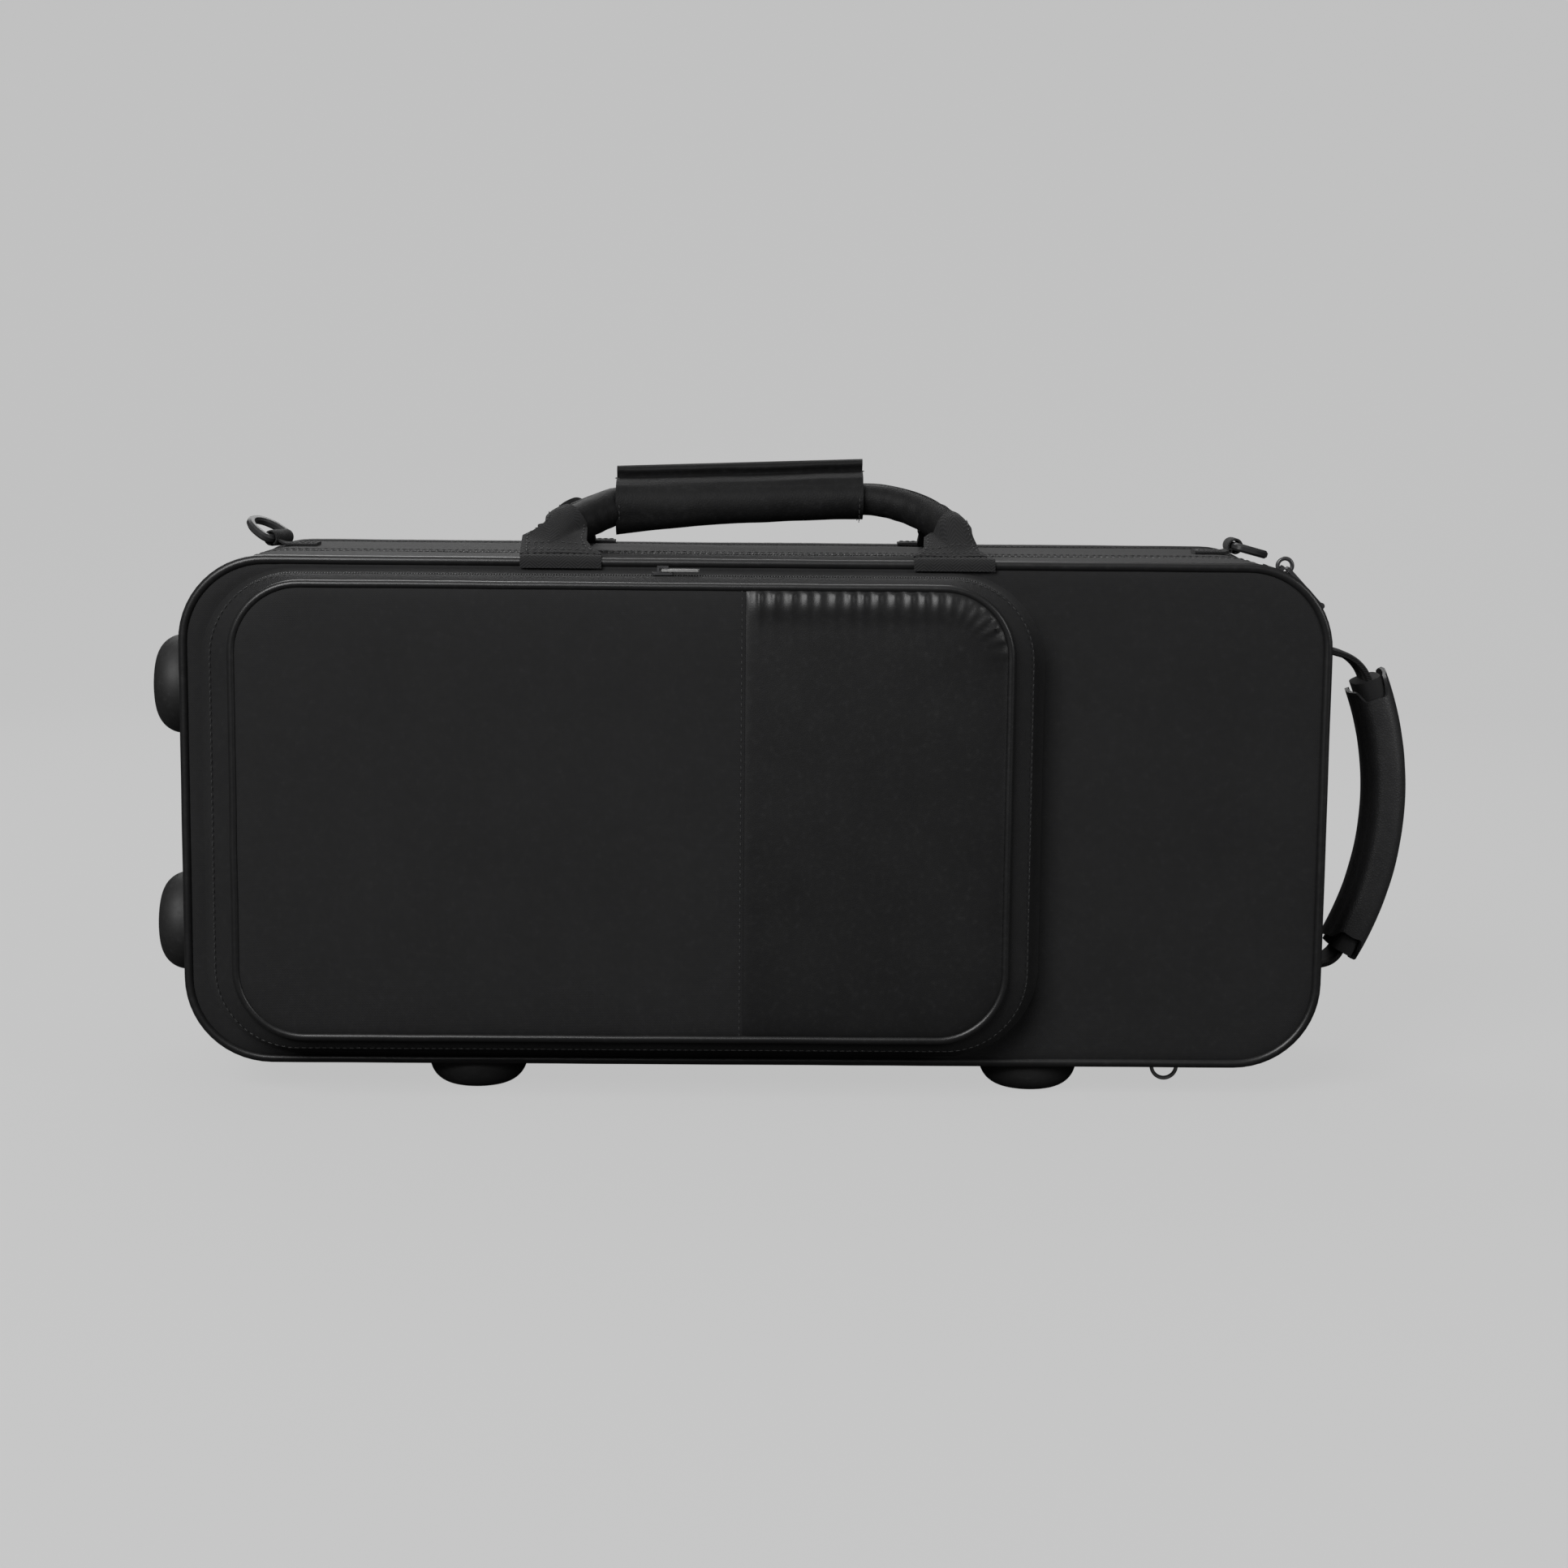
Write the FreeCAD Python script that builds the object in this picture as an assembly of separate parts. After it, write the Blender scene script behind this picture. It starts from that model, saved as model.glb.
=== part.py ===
import FreeCAD, Part
import math
import os

os.makedirs("parts", exist_ok=True)
V = FreeCAD.Vector
X_AXIS = V(1, 0, 0)
Y_AXIS = V(0, 1, 0)
Z_AXIS = V(0, 0, 1)

# Soft trumpet case standing on its long side. +X runs along the case to the end
# handle, the pocket faces -Y, +Z is up, and the origin is on the floor under the
# middle of the overall box. All sizes are millimetres.

# Shell: a rear base and a front lid, each a foam cup with a cover and a lining
case_length = 540.0
case_height = 240.0
corner_radius = 40.0
base_depth = 85.0
lid_depth = 65.0
cover_wall = 1.5
foam_wall = 7.0
lining_wall = 1.5
foam_edge_radius = 5.0
panel_crown = 2.0
crown_run = 16.0
crown_run_shares = (0.0, 0.4, 1.0)
crown_rise_shares = (0.0, 0.7, 1.0)

# Perimeter zip, and the fabric hinge that takes its place along the bottom
zip_half_gap = 6.0
tape_wall = 0.6
tape_seam = 5.0
tape_half_gap = 0.7
coil_width = 2.8
coil_height = 1.4
hinge_half_length = 196.0
hinge_half_gap = 0.15

# Piping sewn in between the side bands and the panels
piping_radius = 2.2
piping_inset = 1.2

# Domed rubber feet
foot_radius = 25.0
foot_height = 16.0
foot_flange_height = 2.0
foot_flange_step = 1.5
foot_flat_radius = 11.0
foot_bulge_share = 0.74
foot_recess_radius = 5.0
foot_recess_depth = 9.0
bottom_foot_spacing = 268.0
end_foot_spacing = 115.0
screw_head_radius = 4.2
screw_head_height = 2.4
screw_shank_radius = 1.8
screw_bite = 6.0
screw_clearance = 0.3

# Front pocket with a zipped gusset
pocket_depth = 28.0
pocket_width = 396.0
pocket_height = 231.0
pocket_shift_x = -62.3
pocket_shift_z = -0.2
pocket_radius = 44.0
pocket_front_radius = 33.0
pocket_wall = 1.2
pocket_mid_side_inset = 7.0
pocket_mid_top_inset = 1.5
pocket_mid_bottom_inset = 6.0
pocket_front_side_inset = 17.5
pocket_front_top_inset = 4.5
pocket_front_bottom_inset = 12.5
pocket_zip_depth = 14.0
pocket_zip_half_gap = 4.0
pocket_tape_wall = 0.5
pocket_tape_half_gap = 0.6
pocket_coil_width = 2.0
pocket_coil_height = 0.9
pocket_piping_radius = 1.9
pocket_crown = 2.5
pocket_pad_wall = 3.0
smooth_panel_edge_x = -5.4

# Zip sliders
slider_width = 9.2
slider_length = 15.0
slider_plate = 1.4
slider_lift = 0.3
slider_web = 0.7
slider_web_length = 4.0
slider_flange = 0.9
main_slider_angle = 38.5
crown_bar_radius = 0.8
crown_post_width = 1.1
crown_post_length = 2.0
pull_ring_radius = 3.6
pull_ring_wire = 1.0
pull_ring_lean = 15.0
pull_tab_length = 23.0
pull_tab_width = 6.0
pull_tab_wall = 1.8
pull_tab_knob_radius = 1.6
pull_tab_angle = 137.0
pull_eye_clearance = 0.25
pocket_slider_width = 7.0
pocket_slider_length = 10.0
pocket_slider_plate = 1.1
pocket_slider_x = -44.0
pocket_bail_wall = 0.9
pocket_bail_width = 1.6
pocket_bail_opening = 2.0
pocket_bail_half_length = 2.6
pocket_pull_length = 17.0
pocket_pull_width = 5.0
pocket_pull_wall = 1.1
pocket_pull_bar_radius = 0.6

# Pair of padded carrying handles that meet in one wrapped grip
handle_half_span = 92.0
handle_roll_radius = 8.5
handle_roll_height = 24.5
handle_roll_gap = 0.35
handle_left_bend_radius = 26.0
handle_right_bend_radius = 46.0
handle_bend_angle = 62.0
strap_wall = 3.5
strap_foot_width = 38.0
strap_foot_rise = 11.0
strap_neck_width = 20.0
strap_horn_height = 6.0
seam_tab_wall = 1.6
seam_tab_tongue = 4.6
running_gap = 0.3
wrap_end_gap = 0.5
wrap_wall = 1.6
wrap_ridge_wall = 1.7
wrap_ridge_height = 44.0
wrap_half_gap = 0.15
wrap_fit = 0.2

# Handle on the right end
end_handle_y = 27.0
end_strap_width = 25.0
end_strap_wall = 3.0
end_nose_radius = 6.0
end_flare_length = 14.0
end_patch_wall = 2.5
end_patch_width = 32.0
end_patch_height = 36.0
end_grip_radius = 160.0
end_grip_reach = 48.0
end_grip_mid_z = -1.0
end_grip_top_angle = 22.2
end_grip_bottom_angle = -29.8
end_top_bend_radius = 20.0
end_bottom_bend_radius = 12.0
end_lead_angle = 75.0
end_grip_wall = 20.0
end_grip_width = 34.0
end_grip_round = 7.0
end_cover_wall = 1.8
end_fit = 0.3

# Shoulder strap rings on top and a small metal ring below
ring_spacing = 478.0
ring_y = 33.0
ring_half_width = 11.5
ring_reach = 16.0
ring_corner = 3.0
ring_bar_thickness = 4.0
ring_bar_chamfer = 1.1
left_ring_tilt = 32.0
right_ring_tilt = -15.0
left_ring_yaw = 22.0
sleeve_clearance = 0.35
sleeve_wall = 1.5
sleeve_length = 16.0
ring_tab_length = 16.0
ring_tab_wall = 2.0
lower_ring_x = 200.0
lower_ring_y = -43.0
lower_ring_half_width = 6.0
lower_ring_reach = 8.6
lower_ring_corner = 1.6
lower_ring_thickness = 1.8
lower_ring_chamfer = 0.5
lower_sleeve_length = 7.0
lower_tab_length = 14.0
lower_tab_wall = 1.2

# Moulded trumpet bed, and the pad in the lid
trumpet_mid = 10.0
trumpet_length = 483.0
bell_radius = 63.5
bell_rim_inset = 7.5
bell_axis_z = 42.0
bell_throat_length = 190.0
bell_reach_shares = (0.0, 0.06, 0.2, 0.45, 1.0)
bell_radius_shares = (1.0, 0.72, 0.46, 0.3, 0.205)
tube_slot_width = 26.0
tube_slot_depth = 28.0
tube_loop_left = -135.0
tube_loop_right = 108.0
tube_loop_height = 85.0
tube_loop_radius = 40.0
valve_pocket_x = -18.0
valve_pocket_z = 16.0
valve_pocket_width = 92.0
valve_pocket_height = 172.0
valve_pocket_radius = 10.0
valve_pocket_depth = 25.0
finger_notch_radius = 17.0
accessory_z = -83.0
accessory_width = 190.0
accessory_height = 34.0
accessory_depth = 52.0
accessory_radius = 6.0
accessory_ledge = 5.0
accessory_lid_wall = 3.0
accessory_fit = 0.4
accessory_tab_width = 14.0
accessory_tab_reach = 8.0
accessory_tab_wall = 1.6
accessory_tab_inset = 5.0
holder_z = 82.0
holder_width = 92.0
holder_height = 36.0
holder_depth = 54.0
holder_fit = 0.3
holder_spacing = 44.0
cup_bore_radius = 14.0
cup_bore_depth = 24.0
shank_bore_radius = 6.5
shank_bore_depth = 48.0
lid_pad_wall = 16.0
bolster_width = 30.0
bolster_rise = 33.0
bolster_bottom_z = -48.0
bolster_top_z = 62.0
left_bolster_x = -100.0
right_bolster_x = 62.0
bed_end_wall = 17.4

overrun = 1.0

# Places worked out from the sizes
grip_centre_reach = end_grip_reach - end_grip_radius
end_handle_proud = end_grip_reach + end_grip_wall / 2
case_mid_x = (foot_height - end_handle_proud) / 2
case_left = case_mid_x - case_length / 2
case_right = case_mid_x + case_length / 2
case_bottom = foot_height
case_top = case_bottom + case_height
case_mid_z = case_bottom + case_height / 2
overall_depth = pocket_crown + pocket_depth + lid_depth + base_depth + panel_crown
split_y = pocket_crown + pocket_depth + lid_depth - overall_depth / 2
lid_front_y = split_y - lid_depth
base_back_y = split_y + base_depth
pocket_front_y = lid_front_y - pocket_depth
foam_inset = cover_wall + tape_wall
lining_inset = foam_inset + foam_wall
inner_inset = lining_inset + lining_wall
panel_inset = piping_inset + piping_radius
seam_tab_skirt = panel_inset
bed_inner_end = case_length / 2 - inner_inset - bed_end_wall
accessory_x = bed_inner_end - accessory_ledge - accessory_width / 2
holder_x = bed_inner_end - holder_width / 2


def rounded_wire(centre_x, centre_z, width, height, radius, y):
    """Upright rounded rectangle at depth y."""
    x0, x1 = centre_x - width / 2, centre_x + width / 2
    z0, z1 = centre_z - height / 2, centre_z + height / 2
    k = radius * (1 - math.sqrt(0.5))
    edges = [
        Part.LineSegment(V(x0 + radius, y, z0), V(x1 - radius, y, z0)),
        Part.Arc(V(x1 - radius, y, z0), V(x1 - k, y, z0 + k), V(x1, y, z0 + radius)),
        Part.LineSegment(V(x1, y, z0 + radius), V(x1, y, z1 - radius)),
        Part.Arc(V(x1, y, z1 - radius), V(x1 - k, y, z1 - k), V(x1 - radius, y, z1)),
        Part.LineSegment(V(x1 - radius, y, z1), V(x0 + radius, y, z1)),
        Part.Arc(V(x0 + radius, y, z1), V(x0 + k, y, z1 - k), V(x0, y, z1 - radius)),
        Part.LineSegment(V(x0, y, z1 - radius), V(x0, y, z0 + radius)),
        Part.Arc(V(x0, y, z0 + radius), V(x0 + k, y, z0 + k), V(x0 + radius, y, z0)),
    ]
    return Part.Wire([edge.toShape() for edge in edges])


def extruded(wire, depth):
    """Solid from a closed upright wire, drawn along +Y."""
    return Part.Face(wire).extrude(Y_AXIS * depth)


def block(x0, x1, y0, y1, z0, z1):
    """Box between two corners."""
    return Part.makeBox(x1 - x0, y1 - y0, z1 - z0, V(x0, y0, z0))


def rounded_block(centre_x, centre_z, width, height, radius, y0, y1):
    """Upright rounded rectangle drawn from y0 to y1."""
    return extruded(rounded_wire(centre_x, centre_z, width, height, radius, y0), y1 - y0)


def case_wire(inset, y):
    """Outline of the case, set in from its side band."""
    return rounded_wire(case_mid_x, case_mid_z, case_length - 2 * inset,
                        case_height - 2 * inset, corner_radius - inset, y)


def case_prism(inset, y0, y1):
    """Case outline drawn from y0 to y1."""
    return extruded(case_wire(inset, y0), y1 - y0)


def case_ring(outer_inset, inner_inset, y0, y1):
    """Band that follows the case outline between two insets."""
    core = case_prism(inner_inset, y0 - overrun, y1 + overrun)
    return case_prism(outer_inset, y0, y1).cut(core)


def bottom_gap_box():
    """The stretch of the bottom that has the fabric hinge and no zip."""
    return block(case_mid_x - hinge_half_length, case_mid_x + hinge_half_length,
                 lid_front_y, base_back_y, 0, case_bottom + corner_radius)


def sweep(path, profile):
    """Solid of one profile carried along a path."""
    return path.makePipeShell([profile], True, False)


def crowned(wire_at, inner_y, face_y, out, crown):
    """Padded panel: a flat back, straight edges and a low crown."""
    wires = [wire_at(0, inner_y)]
    for run, rise in zip(crown_run_shares, crown_rise_shares):
        wires.append(wire_at(crown_run * run, face_y + out * crown * rise))
    return Part.makeLoft(wires, True, True)


def foot_places(half_y):
    """Seat, outward axis and kind of each foot on one half of the case."""
    half = bottom_foot_spacing / 2
    bottom = [(V(case_mid_x + side * half, half_y, case_bottom), -Z_AXIS) for side in (-1, 1)]
    rise = end_foot_spacing / 2
    ends = [(V(case_left, half_y, case_mid_z + side * rise), -X_AXIS) for side in (-1, 1)]
    return bottom, ends


def turned_to(shape, axis):
    """Turn a shape built along +Z so that it points along axis."""
    return shape.transformGeometry(FreeCAD.Placement(V(), FreeCAD.Rotation(Z_AXIS, axis)).toMatrix())


def placed(shape, axis, seat):
    """Copy of a shape built along +Z, turned to an axis and seated."""
    copy = shape.copy()
    copy.Placement = FreeCAD.Placement(seat, FreeCAD.Rotation(Z_AXIS, axis))
    return copy


def foot_shape():
    """Domed foot with a flange, a flat tread and a screw recess."""
    top_radius = foot_radius - foot_flange_step
    mid = V(foot_flat_radius + (top_radius - foot_flat_radius) * foot_bulge_share, 0,
            foot_flange_height + (foot_height - foot_flange_height) * foot_bulge_share)
    recess_floor = foot_height - foot_recess_depth
    hole = screw_shank_radius + screw_clearance
    corners = [V(hole, 0, 0), V(foot_radius, 0, 0), V(foot_radius, 0, foot_flange_height),
               V(top_radius, 0, foot_flange_height)]
    edges = [Part.LineSegment(a, b).toShape() for a, b in zip(corners, corners[1:])]
    edges.append(Part.Arc(corners[-1], mid, V(foot_flat_radius, 0, foot_height)).toShape())
    inner = [V(foot_flat_radius, 0, foot_height), V(foot_recess_radius, 0, foot_height),
             V(foot_recess_radius, 0, recess_floor), V(hole, 0, recess_floor), V(hole, 0, 0)]
    edges += [Part.LineSegment(a, b).toShape() for a, b in zip(inner, inner[1:])]
    return Part.Face(Part.Wire(edges)).revolve(V(0, 0, 0), Z_AXIS, 360)


def screw_shape():
    """Foot screw: a pan head in the recess and a shank into the foam."""
    floor = foot_height - foot_recess_depth
    shank = Part.makeCylinder(screw_shank_radius, floor + screw_bite, V(0, 0, -screw_bite))
    return shank.fuse(Part.makeCylinder(screw_head_radius, screw_head_height, V(0, 0, floor)))


def screw_holes(places):
    """Holes for the foot screws in the cover and the foam."""
    radius = screw_shank_radius + screw_clearance
    hole = Part.makeCylinder(radius, screw_bite + 2 * overrun, V(0, 0, -screw_bite - overrun))
    return Part.Compound([placed(hole, axis, seat) for seat, axis in places])


def feet(places):
    """Group of feet at their seats."""
    return Part.Compound([placed(foot_shape(), axis, seat) for seat, axis in places])


def foot_screws(places):
    """Group of foot screws at their seats."""
    return Part.Compound([placed(screw_shape(), axis, seat) for seat, axis in places])


base_foot_y = split_y + (zip_half_gap + base_depth) / 2
lid_foot_y = split_y - (zip_half_gap + lid_depth) / 2
base_bottom_places, base_end_places = foot_places(base_foot_y)
lid_bottom_places, lid_end_places = foot_places(lid_foot_y)


def zip_tape(side):
    """Tape of one half of the zip, from its seam to the coil."""
    near, far = split_y + side * tape_half_gap, split_y + side * (zip_half_gap + tape_seam)
    ring = case_ring(cover_wall, cover_wall + tape_wall, min(near, far), max(near, far))
    return ring.cut(bottom_gap_box())


def zip_coil(side):
    """Coil of one half of the zip: a half-round bead on its tape."""
    near = split_y + side * tape_half_gap
    far = near + side * coil_width
    start_x = case_mid_x - hinge_half_length
    seat = case_bottom + cover_wall
    profile = Part.Wire([
        Part.LineSegment(V(start_x, near, seat), V(start_x, far, seat)).toShape(),
        Part.Arc(V(start_x, far, seat), V(start_x, (near + far) / 2, seat - coil_height),
                 V(start_x, near, seat)).toShape()])
    left, right = case_left + cover_wall, case_right - cover_wall
    top = case_top - cover_wall
    radius = corner_radius - cover_wall
    k = radius * (1 - math.sqrt(0.5))
    end_x = case_mid_x + hinge_half_length
    y = split_y
    path = [
        Part.LineSegment(V(start_x, y, seat), V(left + radius, y, seat)),
        Part.Arc(V(left + radius, y, seat), V(left + k, y, seat + k), V(left, y, seat + radius)),
        Part.LineSegment(V(left, y, seat + radius), V(left, y, top - radius)),
        Part.Arc(V(left, y, top - radius), V(left + k, y, top - k), V(left + radius, y, top)),
        Part.LineSegment(V(left + radius, y, top), V(right - radius, y, top)),
        Part.Arc(V(right - radius, y, top), V(right - k, y, top - k), V(right, y, top - radius)),
        Part.LineSegment(V(right, y, top - radius), V(right, y, seat + radius)),
        Part.Arc(V(right, y, seat + radius), V(right - k, y, seat + k), V(right - radius, y, seat)),
        Part.LineSegment(V(right - radius, y, seat), V(end_x, y, seat)),
    ]
    return sweep(Part.Wire([edge.toShape() for edge in path]), profile)


def hinge_strip(side):
    """Half of the fabric hinge, flush with the cover along the bottom."""
    near, far = split_y + side * hinge_half_gap, split_y + side * zip_half_gap
    return block(case_mid_x - hinge_half_length, case_mid_x + hinge_half_length,
                 min(near, far), max(near, far), case_bottom, case_bottom + cover_wall)


def case_piping(face_y, inward):
    """Round piping along the edge between a side band and a panel."""
    y = face_y + inward * piping_inset
    start = V(case_left + corner_radius, y, case_bottom + piping_inset)
    profile = Part.Wire(Part.makeCircle(piping_radius, start, X_AXIS))
    return sweep(case_wire(piping_inset, y), profile)


def side_band(side, face_y):
    """Side band of the cover, from the zip to the piping."""
    near = split_y + side * zip_half_gap
    far = face_y - side * panel_inset
    ring = case_ring(0, cover_wall, min(near, far), max(near, far))
    strip = hinge_strip(side)
    return ring.cut(strip)


def foam_cup(side, face_y):
    """Foam shell of one half: walls and back, with the outer edge eased."""
    rim = split_y + side * zip_half_gap
    back = face_y - side * cover_wall
    floor = back - side * foam_wall
    outer = case_prism(foam_inset, min(rim, back), max(rim, back))
    far_edges = [e for e in outer.Edges if abs(e.BoundBox.YMin - back) < tape_wall
                 and abs(e.BoundBox.YMax - back) < tape_wall]
    outer = outer.makeFillet(foam_edge_radius, far_edges)
    mouth = rim - side * overrun
    return outer.cut(case_prism(lining_inset, min(mouth, floor), max(mouth, floor)))


def lining_cup(side, face_y):
    """Plush lining inside the foam shell."""
    rim = split_y + side * zip_half_gap
    floor = face_y - side * (cover_wall + foam_wall)
    inner = floor - side * lining_wall
    mouth = rim - side * overrun
    outer = case_prism(lining_inset, min(rim, floor), max(rim, floor))
    return outer.cut(case_prism(inner_inset, min(mouth, inner), max(mouth, inner)))


def seam_tab(face_y, out, x):
    """Webbing flap that laps the piping where a handle strap is sewn in."""
    half = strap_foot_width / 2
    pipe_y = face_y - out * piping_inset
    pipe_z = case_top - piping_inset
    reach = piping_radius + wrap_fit + seam_tab_wall
    tongue_y = face_y - out * seam_tab_tongue
    skirt_y = pipe_y + out * reach
    lap = Part.makeCylinder(reach, strap_foot_width, V(x - half, pipe_y, pipe_z), X_AXIS)
    lap = lap.fuse([
        block(x - half, x + half, min(pipe_y, tongue_y), max(pipe_y, tongue_y),
              pipe_z, pipe_z + reach),
        block(x - half, x + half, min(pipe_y, skirt_y), max(pipe_y, skirt_y),
              case_top - seam_tab_skirt, pipe_z)])
    inside_y = face_y - out * corner_radius
    body = block(x - strap_foot_width, x + strap_foot_width, min(face_y, inside_y),
                 max(face_y, inside_y), case_mid_z, case_top)
    pipe = Part.makeCylinder(piping_radius + wrap_fit, strap_foot_width + 2 * overrun,
                             V(x - half - overrun, pipe_y, pipe_z), X_AXIS)
    low = block(x - strap_foot_width, x + strap_foot_width,
                min(inside_y, skirt_y + out * overrun), max(inside_y, skirt_y + out * overrun),
                case_mid_z, case_top - seam_tab_skirt)
    lap = lap.cut(body).cut(pipe).cut(low)
    return max(lap.Solids, key=lambda solid: solid.Volume)


def seam_tabs(face_y, out):
    """Both flaps of one handle."""
    return Part.Compound([seam_tab(face_y, out, case_mid_x + side * handle_half_span)
                          for side in (-1, 1)])


class HandleFrame:
    """Hinge line, roll centre and lean of one carrying handle."""

    def __init__(self, face_y, out):
        self.out = out
        self.hinge_y = face_y - out * (seam_tab_tongue + running_gap + strap_wall / 2)
        self.hinge_z = case_top + running_gap + strap_wall / 2
        self.roll_y = split_y + out * (handle_roll_radius + handle_roll_gap)
        self.roll_z = case_top + handle_roll_height
        rise = self.roll_z - self.hinge_z
        run = abs(self.hinge_y - self.roll_y)
        self.reach = math.hypot(rise, run)
        self.lean = out * math.degrees(math.atan2(run, rise))

    def leaned(self, shape):
        """Turn an upright shape about the hinge line into its lean."""
        copy = shape.copy()
        copy.rotate(V(0, self.hinge_y, self.hinge_z), X_AXIS, self.lean)
        return copy


front_frame = HandleFrame(lid_front_y, -1)
rear_frame = HandleFrame(base_back_y, 1)


handle_bends = ((-1, handle_left_bend_radius), (1, handle_right_bend_radius))


def roll_bend(frame, side, radius):
    """End, middle and start of the bend that takes the roll down to a leg."""
    top = frame.hinge_z + frame.reach
    full = math.radians(handle_bend_angle)
    end_x = case_mid_x + side * handle_half_span
    start_x = end_x - side * radius * math.sin(full)
    return [V(start_x + side * radius * math.sin(turn), frame.hinge_y,
              top - radius * (1 - math.cos(turn))) for turn in (full, full / 2, 0)]


def upright_roll(frame):
    """Padded roll before it leans: straight in the middle, bent down at its ends."""
    (left_end, left_mid, left_start), (right_end, right_mid, right_start) = [
        roll_bend(frame, side, radius) for side, radius in handle_bends]
    path = [Part.Arc(left_end, left_mid, left_start),
            Part.LineSegment(left_start, right_start),
            Part.Arc(right_start, right_mid, right_end)]
    turn = math.radians(handle_bend_angle)
    way = V(math.cos(turn), 0, math.sin(turn))
    profile = Part.Wire(Part.makeCircle(handle_roll_radius, left_end, way))
    return sweep(Part.Wire([edge.toShape() for edge in path]), profile)


def handle_roll(frame):
    """Padded roll of one carrying handle."""
    return frame.leaned(upright_roll(frame))


def handle_strap(frame):
    """Two webbing legs that narrow upwards and end in a horn beside the roll."""
    roll = upright_roll(frame)
    legs = []
    for side, radius in handle_bends:
        end = roll_bend(frame, side, radius)[0]
        foot, neck = strap_foot_width / 2, strap_neck_width / 2
        shoulder = frame.hinge_z + strap_foot_rise
        neck_z = end.z - radius * (1 - math.cos(math.radians(handle_bend_angle))) / 2
        horn_z = end.z + strap_horn_height
        outline = [V(end.x - foot, 0, frame.hinge_z), V(end.x + foot, 0, frame.hinge_z),
                   V(end.x + foot, 0, shoulder), V(end.x + neck, 0, neck_z),
                   V(end.x + neck, 0, horn_z), V(end.x - neck, 0, horn_z),
                   V(end.x - neck, 0, neck_z), V(end.x - foot, 0, shoulder)]
        outline = [point + Y_AXIS * (frame.hinge_y - strap_wall / 2) for point in outline]
        leg = extruded(Part.makePolygon(outline + outline[:1]), strap_wall)
        nose = Part.makeCylinder(strap_wall / 2, strap_foot_width,
                                 V(end.x - foot, frame.hinge_y, frame.hinge_z), X_AXIS)
        leg = leg.fuse(nose).removeSplitter().cut(roll)
        legs.append(max(leg.Solids, key=lambda solid: solid.Volume))
    return frame.leaned(Part.Compound(legs))


def grip_wrap(frame):
    """Half of the wrapped grip, open towards the other handle."""
    inner = handle_roll_radius + wrap_fit
    outer = inner + wrap_wall
    starts = [roll_bend(frame, side, radius)[2].x for side, radius in handle_bends]
    x0, x1 = starts[0] + wrap_end_gap, starts[1] - wrap_end_gap
    wrap_length = x1 - x0
    y, z = frame.roll_y, frame.roll_z
    meet = split_y + frame.out * wrap_half_gap
    ridge = meet + frame.out * wrap_ridge_wall
    skin = Part.makeCylinder(outer, wrap_length, V(x0, y, z), X_AXIS)
    skin = skin.fuse([
        block(x0, x1, min(y, meet), max(y, meet), z - outer, z + outer),
        block(x0, x1, min(ridge, meet), max(ridge, meet), z, case_top + wrap_ridge_height)])
    far = meet - frame.out * 2 * outer
    skin = skin.cut(block(x0 - overrun, x1 + overrun, min(meet, far), max(meet, far),
                          z - 2 * outer, z + 2 * outer))
    hollow = Part.makeCylinder(inner, wrap_length + 2 * overrun, V(x0 - overrun, y, z), X_AXIS)
    hollow = hollow.fuse(block(x0 - overrun, x1 + overrun, min(y, far), max(y, far),
                               z - inner, z + inner))
    return skin.cut(hollow).removeSplitter()


def pocket_wire(stage, inset, y):
    """Pocket outline at its base, its zip or its front, set in by inset."""
    side, top, bottom, radius = {
        "base": (0, 0, 0, pocket_radius),
        "mid": (pocket_mid_side_inset, pocket_mid_top_inset, pocket_mid_bottom_inset,
                (pocket_radius + pocket_front_radius) / 2),
        "front": (pocket_front_side_inset, pocket_front_top_inset, pocket_front_bottom_inset,
                  pocket_front_radius),
    }[stage]
    centre_x = case_mid_x + pocket_shift_x
    centre_z = case_mid_z + pocket_shift_z + (bottom - top) / 2
    return rounded_wire(centre_x, centre_z, pocket_width - 2 * (side + inset),
                        pocket_height - top - bottom - 2 * inset, radius - inset, y)


def gusset(stage_a, y_a, stage_b, y_b):
    """Sloping wall of the pocket between two outlines."""
    outer = Part.makeLoft([pocket_wire(stage_a, 0, y_a), pocket_wire(stage_b, 0, y_b)], True, True)
    inner = Part.makeLoft([pocket_wire(stage_a, pocket_wall, y_a),
                           pocket_wire(stage_b, pocket_wall, y_b)], True, True)
    return outer.cut(inner)


def pocket_ring(outer_inset, inner_inset, y0, y1):
    """Band along the zip outline of the pocket."""
    outer = extruded(pocket_wire("mid", outer_inset, y0), y1 - y0)
    core = extruded(pocket_wire("mid", inner_inset, y0 - overrun), y1 - y0 + 2 * overrun)
    return outer.cut(core)


pocket_zip_y = lid_front_y - pocket_zip_depth
pocket_floor_z = (case_mid_z + pocket_shift_z - pocket_height / 2 + pocket_mid_bottom_inset)
pocket_roof_z = (case_mid_z + pocket_shift_z + pocket_height / 2 - pocket_mid_top_inset)
pocket_hinge_half = pocket_width / 2 - pocket_radius
pocket_hinge_mid_x = case_mid_x + pocket_shift_x


def pocket_bottom_box():
    """The stretch of the pocket's floor that is its fabric hinge."""
    return block(pocket_hinge_mid_x - pocket_hinge_half, pocket_hinge_mid_x + pocket_hinge_half,
                 pocket_front_y, lid_front_y, 0, pocket_floor_z + pocket_front_radius)


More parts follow.
